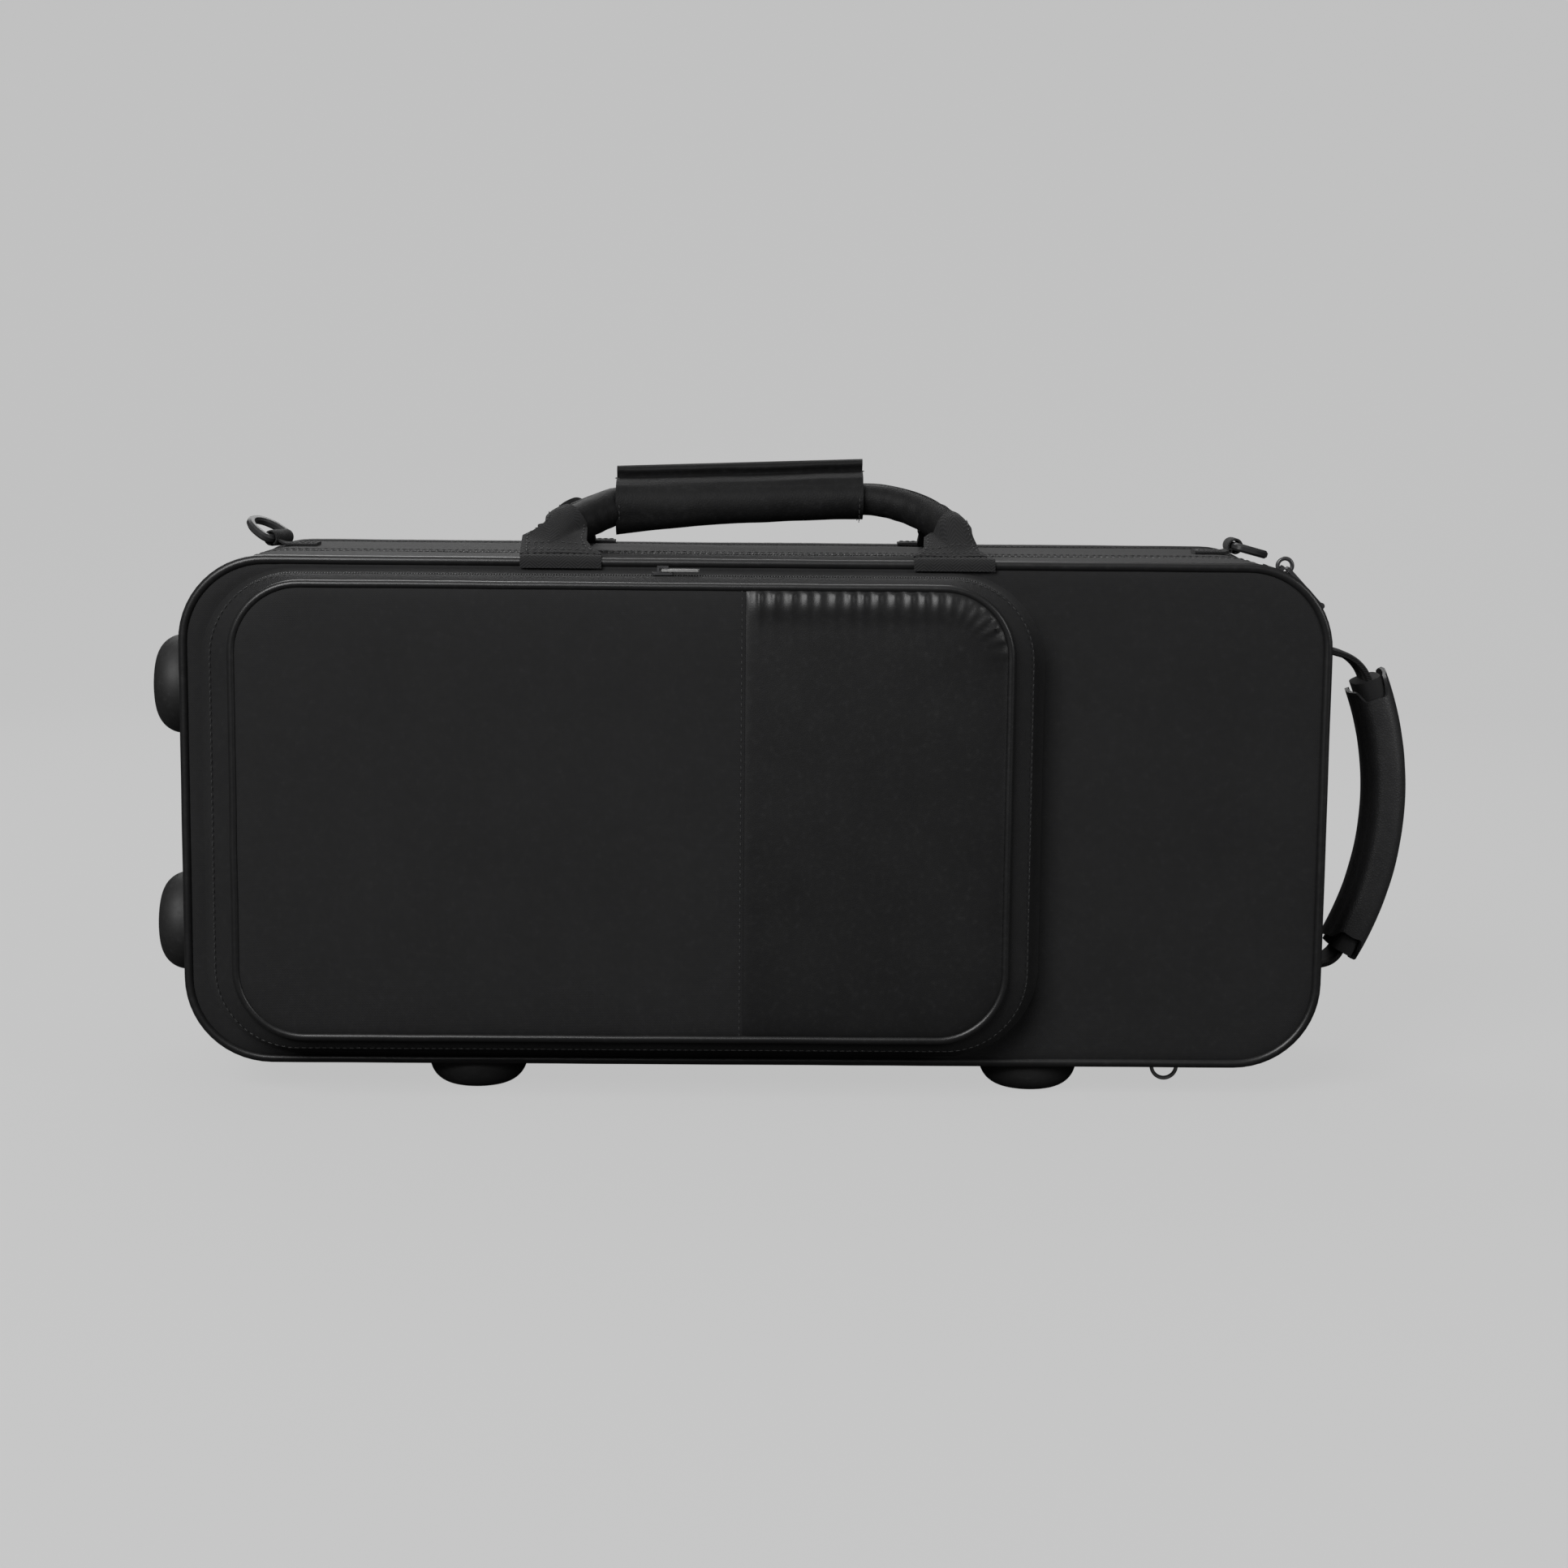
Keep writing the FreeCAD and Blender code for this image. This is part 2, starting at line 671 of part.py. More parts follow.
def pocket_gusset(side):
    """Fixed rear or moving front gusset, with its half of the fabric hinge."""
    edge = pocket_zip_y + side * pocket_zip_half_gap
    near = pocket_zip_y + side * hinge_half_gap
    stage, wall_y = ("base", lid_front_y) if side > 0 else ("front", pocket_front_y + piping_depth)
    wall = gusset("mid", edge, stage, wall_y)
    strip = pocket_ring(0, pocket_wall, min(near, edge), max(near, edge))
    return wall.fuse(strip.common(pocket_bottom_box())).removeSplitter()


def pocket_tape(side):
    """Zip tape of the pocket, from the gusset's edge to the coil."""
    near = pocket_zip_y + side * pocket_tape_half_gap
    far = pocket_zip_y + side * pocket_zip_half_gap
    inset = pocket_wall - pocket_tape_wall
    ring = pocket_ring(inset, pocket_wall, min(near, far), max(near, far))
    return ring.cut(pocket_bottom_box())


def pocket_coil(side):
    """Zip coil of the pocket, standing on its tape."""
    near = pocket_zip_y + side * pocket_tape_half_gap
    far = near + side * pocket_coil_width
    inset = pocket_wall - pocket_tape_wall
    ring = pocket_ring(inset - pocket_coil_height, inset, min(near, far), max(near, far))
    return ring.cut(pocket_bottom_box())


piping_depth = piping_inset + pocket_piping_radius


def pocket_piping():
    """Piping round the front edge of the pocket."""
    y = pocket_front_y + piping_inset
    wire = pocket_wire("front", piping_inset, y)
    start = wire.OrderedVertexes[0].Point
    profile = Part.Wire(Part.makeCircle(pocket_piping_radius, start, X_AXIS))
    return sweep(wire, profile)


def pocket_panel(smooth):
    """Padded front of the pocket, cut where its two materials are joined."""
    def wire_at(inset, y):
        return pocket_wire("front", piping_depth + inset, y)

    panel = crowned(wire_at, pocket_front_y + pocket_pad_wall, pocket_front_y, -1, pocket_crown)
    edge = case_mid_x + smooth_panel_edge_x
    x0, x1 = (edge, case_right) if smooth else (case_left, edge)
    keep = block(x0, x1, pocket_front_y - pocket_depth, lid_front_y, case_bottom, case_top)
    return panel.common(keep)


corner_x = case_right - corner_radius
corner_z = case_top - corner_radius


def sector(r0, r1, half_arc, y0, y1):
    """Piece of a ring about the corner centre, centred on the slider."""
    a0 = math.radians(main_slider_angle) - half_arc
    a1 = math.radians(main_slider_angle) + half_arc

    def at(radius, angle):
        return V(corner_x + radius * math.sin(angle), y0, corner_z + radius * math.cos(angle))

    mid = (a0 + a1) / 2
    wire = Part.Wire([
        Part.Arc(at(r0, a0), at(r0, mid), at(r0, a1)).toShape(),
        Part.LineSegment(at(r0, a1), at(r1, a1)).toShape(),
        Part.Arc(at(r1, a1), at(r1, mid), at(r1, a0)).toShape(),
        Part.LineSegment(at(r1, a0), at(r0, a0)).toShape()])
    return extruded(wire, y1 - y0)


def out_from_corner(rise, angle):
    """Point at a height over the case's side, at an angle round the corner."""
    radius = corner_radius + rise
    return V(corner_x + radius * math.sin(math.radians(angle)), split_y,
             corner_z + radius * math.cos(math.radians(angle)))


slider_top = slider_lift + slider_plate
ring_wire_width = 2 * pull_ring_wire
crown_bar_rise = slider_top + running_gap + ring_wire_width + running_gap + crown_bar_radius
ring_inner_radius = pull_ring_radius - pull_ring_wire
ring_hang = ring_inner_radius - running_gap - crown_bar_radius
crown_half = pull_ring_wire + running_gap


def main_slider():
    """Slider on the corner of the case: plates, web, one flange and a crown."""
    half = slider_width / 2
    half_arc = slider_length / 2 / corner_radius
    tape_back = -cover_wall - tape_wall
    top = sector(corner_radius + slider_lift, corner_radius + slider_top, half_arc,
                 split_y - half, split_y + half)
    under = sector(corner_radius + tape_back - running_gap - slider_plate,
                   corner_radius + tape_back - running_gap, half_arc,
                   split_y - half, split_y + half)
    web = sector(corner_radius + tape_back - running_gap - slider_plate / 2,
                 corner_radius + slider_top - slider_plate / 2,
                 slider_web_length / 2 / corner_radius,
                 split_y - slider_web / 2, split_y + slider_web / 2)
    flange = sector(corner_radius - cover_wall + running_gap,
                    corner_radius + slider_top - slider_plate / 2, half_arc,
                    split_y + half - slider_flange, split_y + half)
    body = top.fuse([under, web, flange])
    tilt = FreeCAD.Rotation(Y_AXIS, main_slider_angle)
    seat = out_from_corner(0, main_slider_angle)
    bar = Part.makeCylinder(crown_bar_radius, 2 * (crown_half + crown_post_width),
                            V(0, -crown_half - crown_post_width, crown_bar_rise), Y_AXIS)
    posts = [block(-crown_post_length / 2, crown_post_length / 2,
                   min(side * crown_half, side * (crown_half + crown_post_width)),
                   max(side * crown_half, side * (crown_half + crown_post_width)),
                   slider_top - slider_plate / 2, crown_bar_rise + crown_bar_radius)
             for side in (-1, 1)]
    crown = bar.fuse(posts)
    crown.Placement = FreeCAD.Placement(seat, tilt)
    return body.fuse(crown).removeSplitter()


crown_bar_point = out_from_corner(crown_bar_rise, main_slider_angle)
ring_direction = math.radians(main_slider_angle + pull_ring_lean)
pull_ring_point = crown_bar_point + V(math.sin(ring_direction), 0,
                                      math.cos(ring_direction)) * ring_hang


def pull_ring():
    """Round wire ring through the slider's crown."""
    return Part.makeTorus(pull_ring_radius, pull_ring_wire, pull_ring_point, Y_AXIS)


def pull_tab():
    """Long flat pull that hangs from the ring by its eye."""
    eye_wall = pull_eye_clearance + pull_ring_wire + crown_post_width
    start = pull_ring_radius - eye_wall
    end = pull_ring_radius + pull_tab_length
    half = pull_tab_width / 2
    tab = block(-pull_tab_wall / 2, pull_tab_wall / 2, -half, half, start, end)
    knob = Part.makeCylinder(pull_tab_knob_radius, pull_tab_width, V(0, -half, end), Y_AXIS)
    groove = Part.makeTorus(pull_ring_radius, pull_ring_wire + pull_eye_clearance,
                            V(0, 0, 0), Y_AXIS)
    tab = tab.fuse(knob).cut(groove)
    tab.Placement = FreeCAD.Placement(pull_ring_point, FreeCAD.Rotation(Y_AXIS, pull_tab_angle))
    return tab


pocket_slider_mid_x = case_mid_x + pocket_slider_x
pocket_bar_rise = (pocket_coil_height - (pocket_wall - pocket_tape_wall) + slider_lift
                   + pocket_slider_plate + pocket_bail_opening / 2)


def pocket_slider():
    """Slider on top of the pocket's gusset, with a bail along the zip."""
    half_x, half_y = pocket_slider_length / 2, pocket_slider_width / 2
    x, y, z = pocket_slider_mid_x, pocket_zip_y, pocket_roof_z
    coil_top = z - (pocket_wall - pocket_tape_wall) + pocket_coil_height
    plate_low = coil_top + slider_lift
    plate_top = plate_low + pocket_slider_plate
    under_top = z - pocket_wall - running_gap
    top = block(x - half_x, x + half_x, y - half_y, y + half_y, plate_low, plate_top)
    nose_edges = [e for e in top.Edges if e.Length < 2 * pocket_slider_plate]
    top = top.makeFillet(pocket_slider_width / 4, nose_edges)
    under = block(x - half_x, x + half_x, y - half_y, y + half_y,
                  under_top - pocket_slider_plate, under_top)
    web_half = pocket_tape_half_gap - running_gap
    web = block(x - slider_web_length / 2, x + slider_web_length / 2, y - web_half, y + web_half,
                under_top - pocket_slider_plate / 2, plate_low + pocket_slider_plate / 2)
    flange = block(x - half_x + pocket_slider_width / 4, x + half_x - pocket_slider_width / 4,
                   y + half_y - slider_web, y + half_y, z - pocket_wall + pocket_tape_wall
                   + running_gap, plate_low + pocket_slider_plate / 2)
    bail_half = pocket_bail_width / 2
    outer = block(x - pocket_bail_half_length, x + pocket_bail_half_length,
                  y - bail_half, y + bail_half, plate_low + pocket_slider_plate / 2,
                  plate_top + pocket_bail_opening + pocket_bail_wall)
    inner = block(x - pocket_bail_half_length + pocket_bail_wall,
                  x + pocket_bail_half_length - pocket_bail_wall,
                  y - pocket_bail_width, y + pocket_bail_width,
                  plate_top, plate_top + pocket_bail_opening)
    return top.fuse([under, web, flange, outer.cut(inner)]).removeSplitter()


def pocket_pull():
    """Flat pull: a bar through the bail, two rails and a blade."""
    x, y = pocket_slider_mid_x, pocket_zip_y
    z = pocket_roof_z + pocket_bar_rise
    half = pocket_pull_width / 2
    rail = (pocket_pull_width - pocket_bail_width) / 2 - running_gap
    bail_corner = math.hypot(pocket_bail_half_length, pocket_bail_opening / 2 + pocket_bail_wall)
    blade_x = x + bail_corner + running_gap
    low, high = z - pocket_pull_wall / 2, z + pocket_pull_wall / 2
    bar = Part.makeCylinder(pocket_pull_bar_radius, pocket_pull_width, V(x, y - half, z), Y_AXIS)
    rails = [block(x, blade_x + running_gap, min(side * half, side * (half - rail)) + y,
                   max(side * half, side * (half - rail)) + y, low, high) for side in (-1, 1)]
    blade = block(blade_x, x + pocket_pull_length, y - half, y + half, low, high)
    tip_edges = [e for e in blade.Edges if e.Length < 2 * pocket_pull_wall
                 and e.BoundBox.XMin > blade_x + half]
    blade = blade.makeFillet(half - running_gap, tip_edges)
    return bar.fuse(rails + [blade]).removeSplitter()


grip_centre = V(case_right + grip_centre_reach, split_y + end_handle_y,
                case_mid_z + end_grip_mid_z)
end_pivot_x = case_right + end_patch_wall + running_gap + end_nose_radius


def grip_point(angle, radius=end_grip_radius):
    """Point on the grip's arc, with the angle measured up from +X."""
    return grip_centre + V(radius * math.cos(math.radians(angle)), 0,
                           radius * math.sin(math.radians(angle)))


def bend_points(angle, side, radius):
    """Start, middle and end of the bend from the grip towards the wall."""
    turn = [abs(angle), (abs(angle) + end_lead_angle) / 2, end_lead_angle]
    start = grip_point(angle)
    points = []
    for heading in turn:
        h, h0 = math.radians(heading), math.radians(turn[0])
        points.append(start + V(-radius * (math.cos(h0) - math.cos(h)), 0,
                                side * radius * (math.sin(h) - math.sin(h0))))
    return points


def wall_point(bend_end, side, x):
    """Point where the straight lead reaches the upright plane at x."""
    run = bend_end.x - x
    return V(x, bend_end.y, bend_end.z + side * run / math.tan(math.radians(end_lead_angle)))


top_bend = bend_points(end_grip_top_angle, 1, end_top_bend_radius)
bottom_bend = bend_points(end_grip_bottom_angle, -1, end_bottom_bend_radius)
top_anchor = wall_point(top_bend[2], 1, end_pivot_x)
bottom_anchor = wall_point(bottom_bend[2], -1, end_pivot_x)


def end_strap():
    """Webbing of the end handle, narrowed to a round nose at each anchor."""
    reach = end_pivot_x - end_nose_radius
    start = wall_point(top_bend[2], 1, reach)
    finish = wall_point(bottom_bend[2], -1, reach)
    middle = grip_point((end_grip_top_angle + end_grip_bottom_angle) / 2)
    path = Part.Wire([
        Part.LineSegment(start, top_bend[2]).toShape(),
        Part.Arc(top_bend[2], top_bend[1], top_bend[0]).toShape(),
        Part.Arc(top_bend[0], middle, bottom_bend[0]).toShape(),
        Part.Arc(bottom_bend[0], bottom_bend[1], bottom_bend[2]).toShape(),
        Part.LineSegment(bottom_bend[2], finish).toShape()])
    along = (top_bend[2] - start).normalize()
    across = V(-along.z, 0, along.x) * (end_strap_wall / 2)
    wide = Y_AXIS * (end_strap_width / 2)
    corners = [start + across + wide, start - across + wide,
               start - across - wide, start + across - wide]
    ribbon = sweep(path, Part.makePolygon(corners + corners[:1]))
    y = grip_centre.y
    half = end_strap_width / 2
    tall = case_height
    far_x = case_right + end_handle_proud
    flare_x = end_pivot_x + end_flare_length
    plan = [V(end_pivot_x, y - end_nose_radius, 0), V(flare_x, y - half, 0), V(far_x, y - half, 0),
            V(far_x, y + half, 0), V(flare_x, y + half, 0), V(end_pivot_x, y + end_nose_radius, 0)]
    plan = Part.Face(Part.makePolygon(plan + plan[:1])).extrude(Z_AXIS * (case_top + tall))
    nose = Part.makeCylinder(end_nose_radius, case_top + tall, V(end_pivot_x, y, 0))
    return ribbon.common(plan.fuse(nose))


def grip_section(width, wall, radius):
    """Rounded section of the end grip, in the plane of its top end."""
    x0, x1 = end_grip_radius - wall / 2, end_grip_radius + wall / 2
    y0, y1 = -width / 2, width / 2
    k = radius * (1 - math.sqrt(0.5))
    edges = [
        Part.LineSegment(V(x0 + radius, y0, 0), V(x1 - radius, y0, 0)),
        Part.Arc(V(x1 - radius, y0, 0), V(x1 - k, y0 + k, 0), V(x1, y0 + radius, 0)),
        Part.LineSegment(V(x1, y0 + radius, 0), V(x1, y1 - radius, 0)),
        Part.Arc(V(x1, y1 - radius, 0), V(x1 - k, y1 - k, 0), V(x1 - radius, y1, 0)),
        Part.LineSegment(V(x1 - radius, y1, 0), V(x0 + radius, y1, 0)),
        Part.Arc(V(x0 + radius, y1, 0), V(x0 + k, y1 - k, 0), V(x0, y1 - radius, 0)),
        Part.LineSegment(V(x0, y1 - radius, 0), V(x0, y0 + radius, 0)),
        Part.Arc(V(x0, y0 + radius, 0), V(x0 + k, y0 + k, 0), V(x0 + radius, y0, 0)),
    ]
    return Part.Face(Part.Wire([edge.toShape() for edge in edges]))


def grip_body(width, wall, radius):
    """Grip section carried round the grip's arc."""
    sweep_angle = end_grip_top_angle - end_grip_bottom_angle
    body = grip_section(width, wall, radius).revolve(V(0, 0, 0), Y_AXIS, sweep_angle)
    body.Placement = FreeCAD.Placement(grip_centre, FreeCAD.Rotation(Y_AXIS, -end_grip_top_angle))
    return body


def end_grip_foam():
    """Foam core of the end grip, round the webbing."""
    shrink = 2 * end_cover_wall
    core = grip_body(end_grip_width - shrink, end_grip_wall - shrink,
                     end_grip_round - end_cover_wall)
    slot = grip_body(end_strap_width + 2 * end_fit, end_strap_wall + 2 * end_fit, end_fit)
    return core.cut(slot)


def end_grip_cover():
    """Stitched cover of the end grip."""
    shrink = 2 * end_cover_wall
    outer = grip_body(end_grip_width, end_grip_wall, end_grip_round)
    return outer.cut(grip_body(end_grip_width - shrink, end_grip_wall - shrink,
                               end_grip_round - end_cover_wall))


def end_patches():
    """Sewn anchor patches of the end handle on the side band."""
    patches = []
    for anchor in (top_anchor, bottom_anchor):
        patch = block(case_right, case_right + end_patch_wall,
                      anchor.y - end_patch_width / 2, anchor.y + end_patch_width / 2,
                      anchor.z - end_patch_height / 2, anchor.z + end_patch_height / 2)
        corners = [e for e in patch.Edges if e.Length < end_patch_wall + tape_wall]
        patches.append(patch.makeFillet(end_patch_wall, corners))
    return Part.Compound(patches)


def d_ring(half_width, reach, corner, thickness, chamfer):
    """D-shaped ring: its bar on the Y axis, its bow towards +X."""
    mid_run = reach - half_width
    k = corner * (1 - math.sqrt(0.5))
    b = half_width
    points = [
        (V(0, corner - b, 0), V(0, b - corner, 0)),
        (V(0, b - corner, 0), V(k, b - k, 0), V(corner, b, 0)),
        (V(corner, b, 0), V(mid_run, b, 0)),
        (V(mid_run, b, 0), V(reach, 0, 0), V(mid_run, -b, 0)),
        (V(mid_run, -b, 0), V(corner, -b, 0)),
        (V(corner, -b, 0), V(k, k - b, 0), V(0, corner - b, 0)),
    ]
    edges = []
    for run in points:
        shape = Part.LineSegment(*run) if len(run) == 2 else Part.Arc(*run)
        edges.append(shape.toShape())
    h, c = thickness / 2, chamfer
    outline = [(h, c - h), (h, h - c), (h - c, h), (c - h, h),
               (-h, h - c), (-h, c - h), (c - h, -h), (h - c, -h)]
    start = V(0, corner - b, 0)
    section = [start + V(u, 0, w) for u, w in outline]
    return sweep(Part.Wire(edges), Part.makePolygon(section + section[:1]))


def ring_turn(side):
    """Turn of a top ring: yawed in its loop, then tilted from level."""
    tilt = left_ring_tilt if side < 0 else right_ring_tilt
    yaw = FreeCAD.Rotation(Z_AXIS, -left_ring_yaw if side < 0 else 0)
    heading = FreeCAD.Rotation(Z_AXIS, 180 if side < 0 else 0)
    return yaw.multiply(heading).multiply(FreeCAD.Rotation(Y_AXIS, -tilt))


sleeve_bore = ring_bar_thickness / 2 * math.sqrt(2) - ring_bar_chamfer / 2 + sleeve_clearance
sleeve_radius = sleeve_bore + sleeve_wall
ring_axis_z = case_top + sleeve_radius


def ring_seat(side):
    """Centre of a top ring's bar."""
    return V(case_mid_x + side * ring_spacing / 2, split_y + ring_y, ring_axis_z)


def top_ring(side):
    """Shoulder-strap ring at one end of the top."""
    ring = d_ring(ring_half_width, ring_reach, ring_corner, ring_bar_thickness, ring_bar_chamfer)
    ring.Placement = FreeCAD.Placement(ring_seat(side), ring_turn(side))
    return ring


def top_ring_tab(side):
    """Webbing tab with the loop that holds a top ring's bar."""
    seat = ring_seat(side)
    half = sleeve_length / 2
    sleeve = Part.makeCylinder(sleeve_radius, sleeve_length, V(0, -half, 0), Y_AXIS)
    bore = Part.makeCylinder(sleeve_bore, sleeve_length + 2 * overrun,
                             V(0, -half - overrun, 0), Y_AXIS)
    turn = FreeCAD.Rotation(Z_AXIS, -left_ring_yaw if side < 0 else 0)
    for piece in (sleeve, bore):
        piece.Placement = FreeCAD.Placement(seat, turn)
    inner_x = seat.x - side * (sleeve_radius + ring_tab_length)
    strip = block(min(inner_x, seat.x), max(inner_x, seat.x), seat.y - half, seat.y + half,
                  case_top, case_top + ring_tab_wall)
    return sleeve.fuse(strip).cut(bore).removeSplitter()


lower_bore = (lower_ring_thickness / 2 * math.sqrt(2) - lower_ring_chamfer / 2
              + sleeve_clearance)
lower_sleeve_radius = lower_bore + lower_tab_wall
lower_ring_seat = V(case_mid_x + lower_ring_x, split_y + lower_ring_y,
                    case_bottom - lower_sleeve_radius)


def lower_ring():
    """Small metal ring that hangs under the lid."""
    ring = d_ring(lower_ring_half_width, lower_ring_reach, lower_ring_corner,
                  lower_ring_thickness, lower_ring_chamfer)
    turn = FreeCAD.Rotation(Y_AXIS, 90).multiply(FreeCAD.Rotation(X_AXIS, 90))
    ring.Placement = FreeCAD.Placement(lower_ring_seat, turn)
    return ring


def lower_ring_tab():
    """Webbing tab with the loop of the small ring."""
    half = lower_sleeve_length / 2
    x, y, z = lower_ring_seat
    sleeve = Part.makeCylinder(lower_sleeve_radius, lower_sleeve_length, V(x - half, y, z), X_AXIS)
    bore = Part.makeCylinder(lower_bore, lower_sleeve_length + 2 * overrun,
                             V(x - half - overrun, y, z), X_AXIS)
    strip = block(x - half, x + half, y, y + lower_tab_length,
                  case_bottom - lower_tab_wall, case_bottom)
    return sleeve.fuse(strip).cut(bore).removeSplitter()


bell_z = case_mid_z + bell_axis_z
trumpet_y = split_y + trumpet_mid
bell_x = case_left + inner_inset + bell_rim_inset
bed_floor_y = base_back_y - inner_inset + tape_wall


def bell_form():
    """Flared bell space, turned about the bell's axis."""
    points = [V(bell_x + bell_throat_length * reach, trumpet_y, bell_z + bell_radius * radius)
              for reach, radius in zip(bell_reach_shares, bell_radius_shares)]
    curve = Part.BSplineCurve()
    curve.interpolate(points)
    rim = V(bell_x, trumpet_y, bell_z)
    throat = V(points[-1].x, trumpet_y, bell_z)
    wire = Part.Wire([curve.toShape(), Part.LineSegment(points[-1], throat).toShape(),
                      Part.LineSegment(throat, rim).toShape(),
                      Part.LineSegment(rim, points[0]).toShape()])
    return Part.Face(wire).revolve(rim, X_AXIS, 360)


def tubing_form():
    """Loop of the tubing, with the lead pipe running on to the mouthpiece."""
    half = tube_slot_width / 2
    mid_x = case_mid_x + (tube_loop_left + tube_loop_right) / 2
    mid_z = bell_z - tube_loop_height / 2
    width = tube_loop_right - tube_loop_left
    depth = tube_slot_depth + overrun
    y0 = trumpet_y - overrun
    outer = rounded_block(mid_x, mid_z, width + tube_slot_width, tube_loop_height + tube_slot_width,
                          tube_loop_radius + half, y0, y0 + depth)
    inner = rounded_block(mid_x, mid_z, width - tube_slot_width, tube_loop_height - tube_slot_width,
                          tube_loop_radius - half, y0 - overrun, y0 + depth + overrun)
    lead = block(case_mid_x + tube_loop_right - tube_loop_radius, bell_x + trumpet_length,
                 y0, y0 + depth, bell_z - half, bell_z + half)
    throat = block(bell_x + bell_throat_length / 2, case_mid_x + valve_pocket_x, y0, y0 + depth,
                   bell_z - half, bell_z + half)
    return outer.cut(inner).fuse([lead, throat])


def valve_form():
    """Space of the valve block, with finger notches each side."""
    x, z = case_mid_x + valve_pocket_x, case_mid_z + valve_pocket_z
    y0 = trumpet_y - overrun
    form = rounded_block(x, z, valve_pocket_width, valve_pocket_height, valve_pocket_radius,
                         y0, trumpet_y + valve_pocket_depth)
    notch_z = bell_z - tube_loop_height / 2
    notches = [Part.makeCylinder(finger_notch_radius, valve_pocket_depth + overrun,
                                 V(x + side * valve_pocket_width / 2, y0, notch_z), Y_AXIS)
               for side in (-1, 1)]
    return form.fuse(notches)


def accessory_form():
    """Accessory space with the ledge that its lid lies on."""
    x, z = case_mid_x + accessory_x, case_mid_z + accessory_z
    well = rounded_block(x, z, accessory_width, accessory_height, accessory_radius,
                         trumpet_y - overrun, trumpet_y + accessory_depth)
    ledge = rounded_block(x, z, accessory_width + 2 * accessory_ledge,
                          accessory_height + 2 * accessory_ledge,
                          accessory_radius + accessory_ledge,
                          trumpet_y - overrun, trumpet_y + accessory_lid_wall + accessory_fit)
    return well.fuse(ledge)


def holder_block(fit):
    """Outline of the mouthpiece holder, grown by a fit."""
    x, z = case_mid_x + holder_x, case_mid_z + holder_z
    return block(x - holder_width / 2 - fit, x + holder_width / 2 + fit,
                 trumpet_y - (overrun if fit else 0), trumpet_y + holder_depth,
                 z - holder_height / 2 - fit, z + holder_height / 2 + fit)


def trumpet_bed():
    """Moulded foam bed that fills the base round the instrument."""
    bed = case_prism(inner_inset, trumpet_y, bed_floor_y - tape_wall)
    return bed.cut([bell_form(), tubing_form(), valve_form(), accessory_form(),
                    holder_block(holder_fit)]).removeSplitter()


def mouthpiece_holder():
    """Firm foam block with two stepped bores for mouthpieces."""
    holder = holder_block(0)
    for side in (-1, 1):
        centre = V(case_mid_x + holder_x + side * holder_spacing / 2, trumpet_y - overrun,
                   case_mid_z + holder_z)
        cup = Part.makeCylinder(cup_bore_radius, cup_bore_depth + overrun, centre, Y_AXIS)
        shank = Part.makeCylinder(shank_bore_radius, shank_bore_depth + overrun, centre, Y_AXIS)
        holder = holder.cut(cup.fuse(shank))
    return holder


accessory_lid_half_x = accessory_width / 2 + accessory_ledge - accessory_fit
accessory_lid_half_z = accessory_height / 2 + accessory_ledge - accessory_fit
accessory_hinge_z = case_mid_z + accessory_z + accessory_lid_half_z


def accessory_lid():
    """Plush-covered board over the accessory space."""
    return rounded_block(case_mid_x + accessory_x, case_mid_z + accessory_z,
                         2 * accessory_lid_half_x, 2 * accessory_lid_half_z,
                         accessory_radius + accessory_ledge - accessory_fit,
                         trumpet_y, trumpet_y + accessory_lid_wall)


def accessory_tab():
    """Ribbon tab that the accessory lid is pulled up by."""
    x = case_mid_x + accessory_x
    z = accessory_hinge_z - 2 * accessory_lid_half_z + accessory_tab_inset
    return block(x - accessory_tab_width / 2, x + accessory_tab_width / 2,
                 trumpet_y - accessory_tab_reach, trumpet_y, z, z + accessory_tab_wall)


def lid_pad():
    """Lid padding: relieved for the bell, with two bolsters over the tubing."""
    back = lid_front_y + inner_inset - tape_wall
    front = back + lid_pad_wall
    pad = case_prism(inner_inset, back, front)
    for x in (left_bolster_x, right_bolster_x):
        pad = pad.fuse(block(case_mid_x + x - bolster_width / 2, case_mid_x + x + bolster_width / 2,
                             front, front + bolster_rise, case_mid_z + bolster_bottom_z,
                             case_mid_z + bolster_top_z))
    return pad.cut(bell_form()).removeSplitter()


def base_back_panel():
    """Padded back of the base."""
    def wire_at(inset, y):
        return case_wire(panel_inset + inset, y)

    return crowned(wire_at, base_back_y - cover_wall, base_back_y, 1, panel_crown)


base_places = base_bottom_places + base_end_places
lid_places = lid_bottom_places + lid_end_places

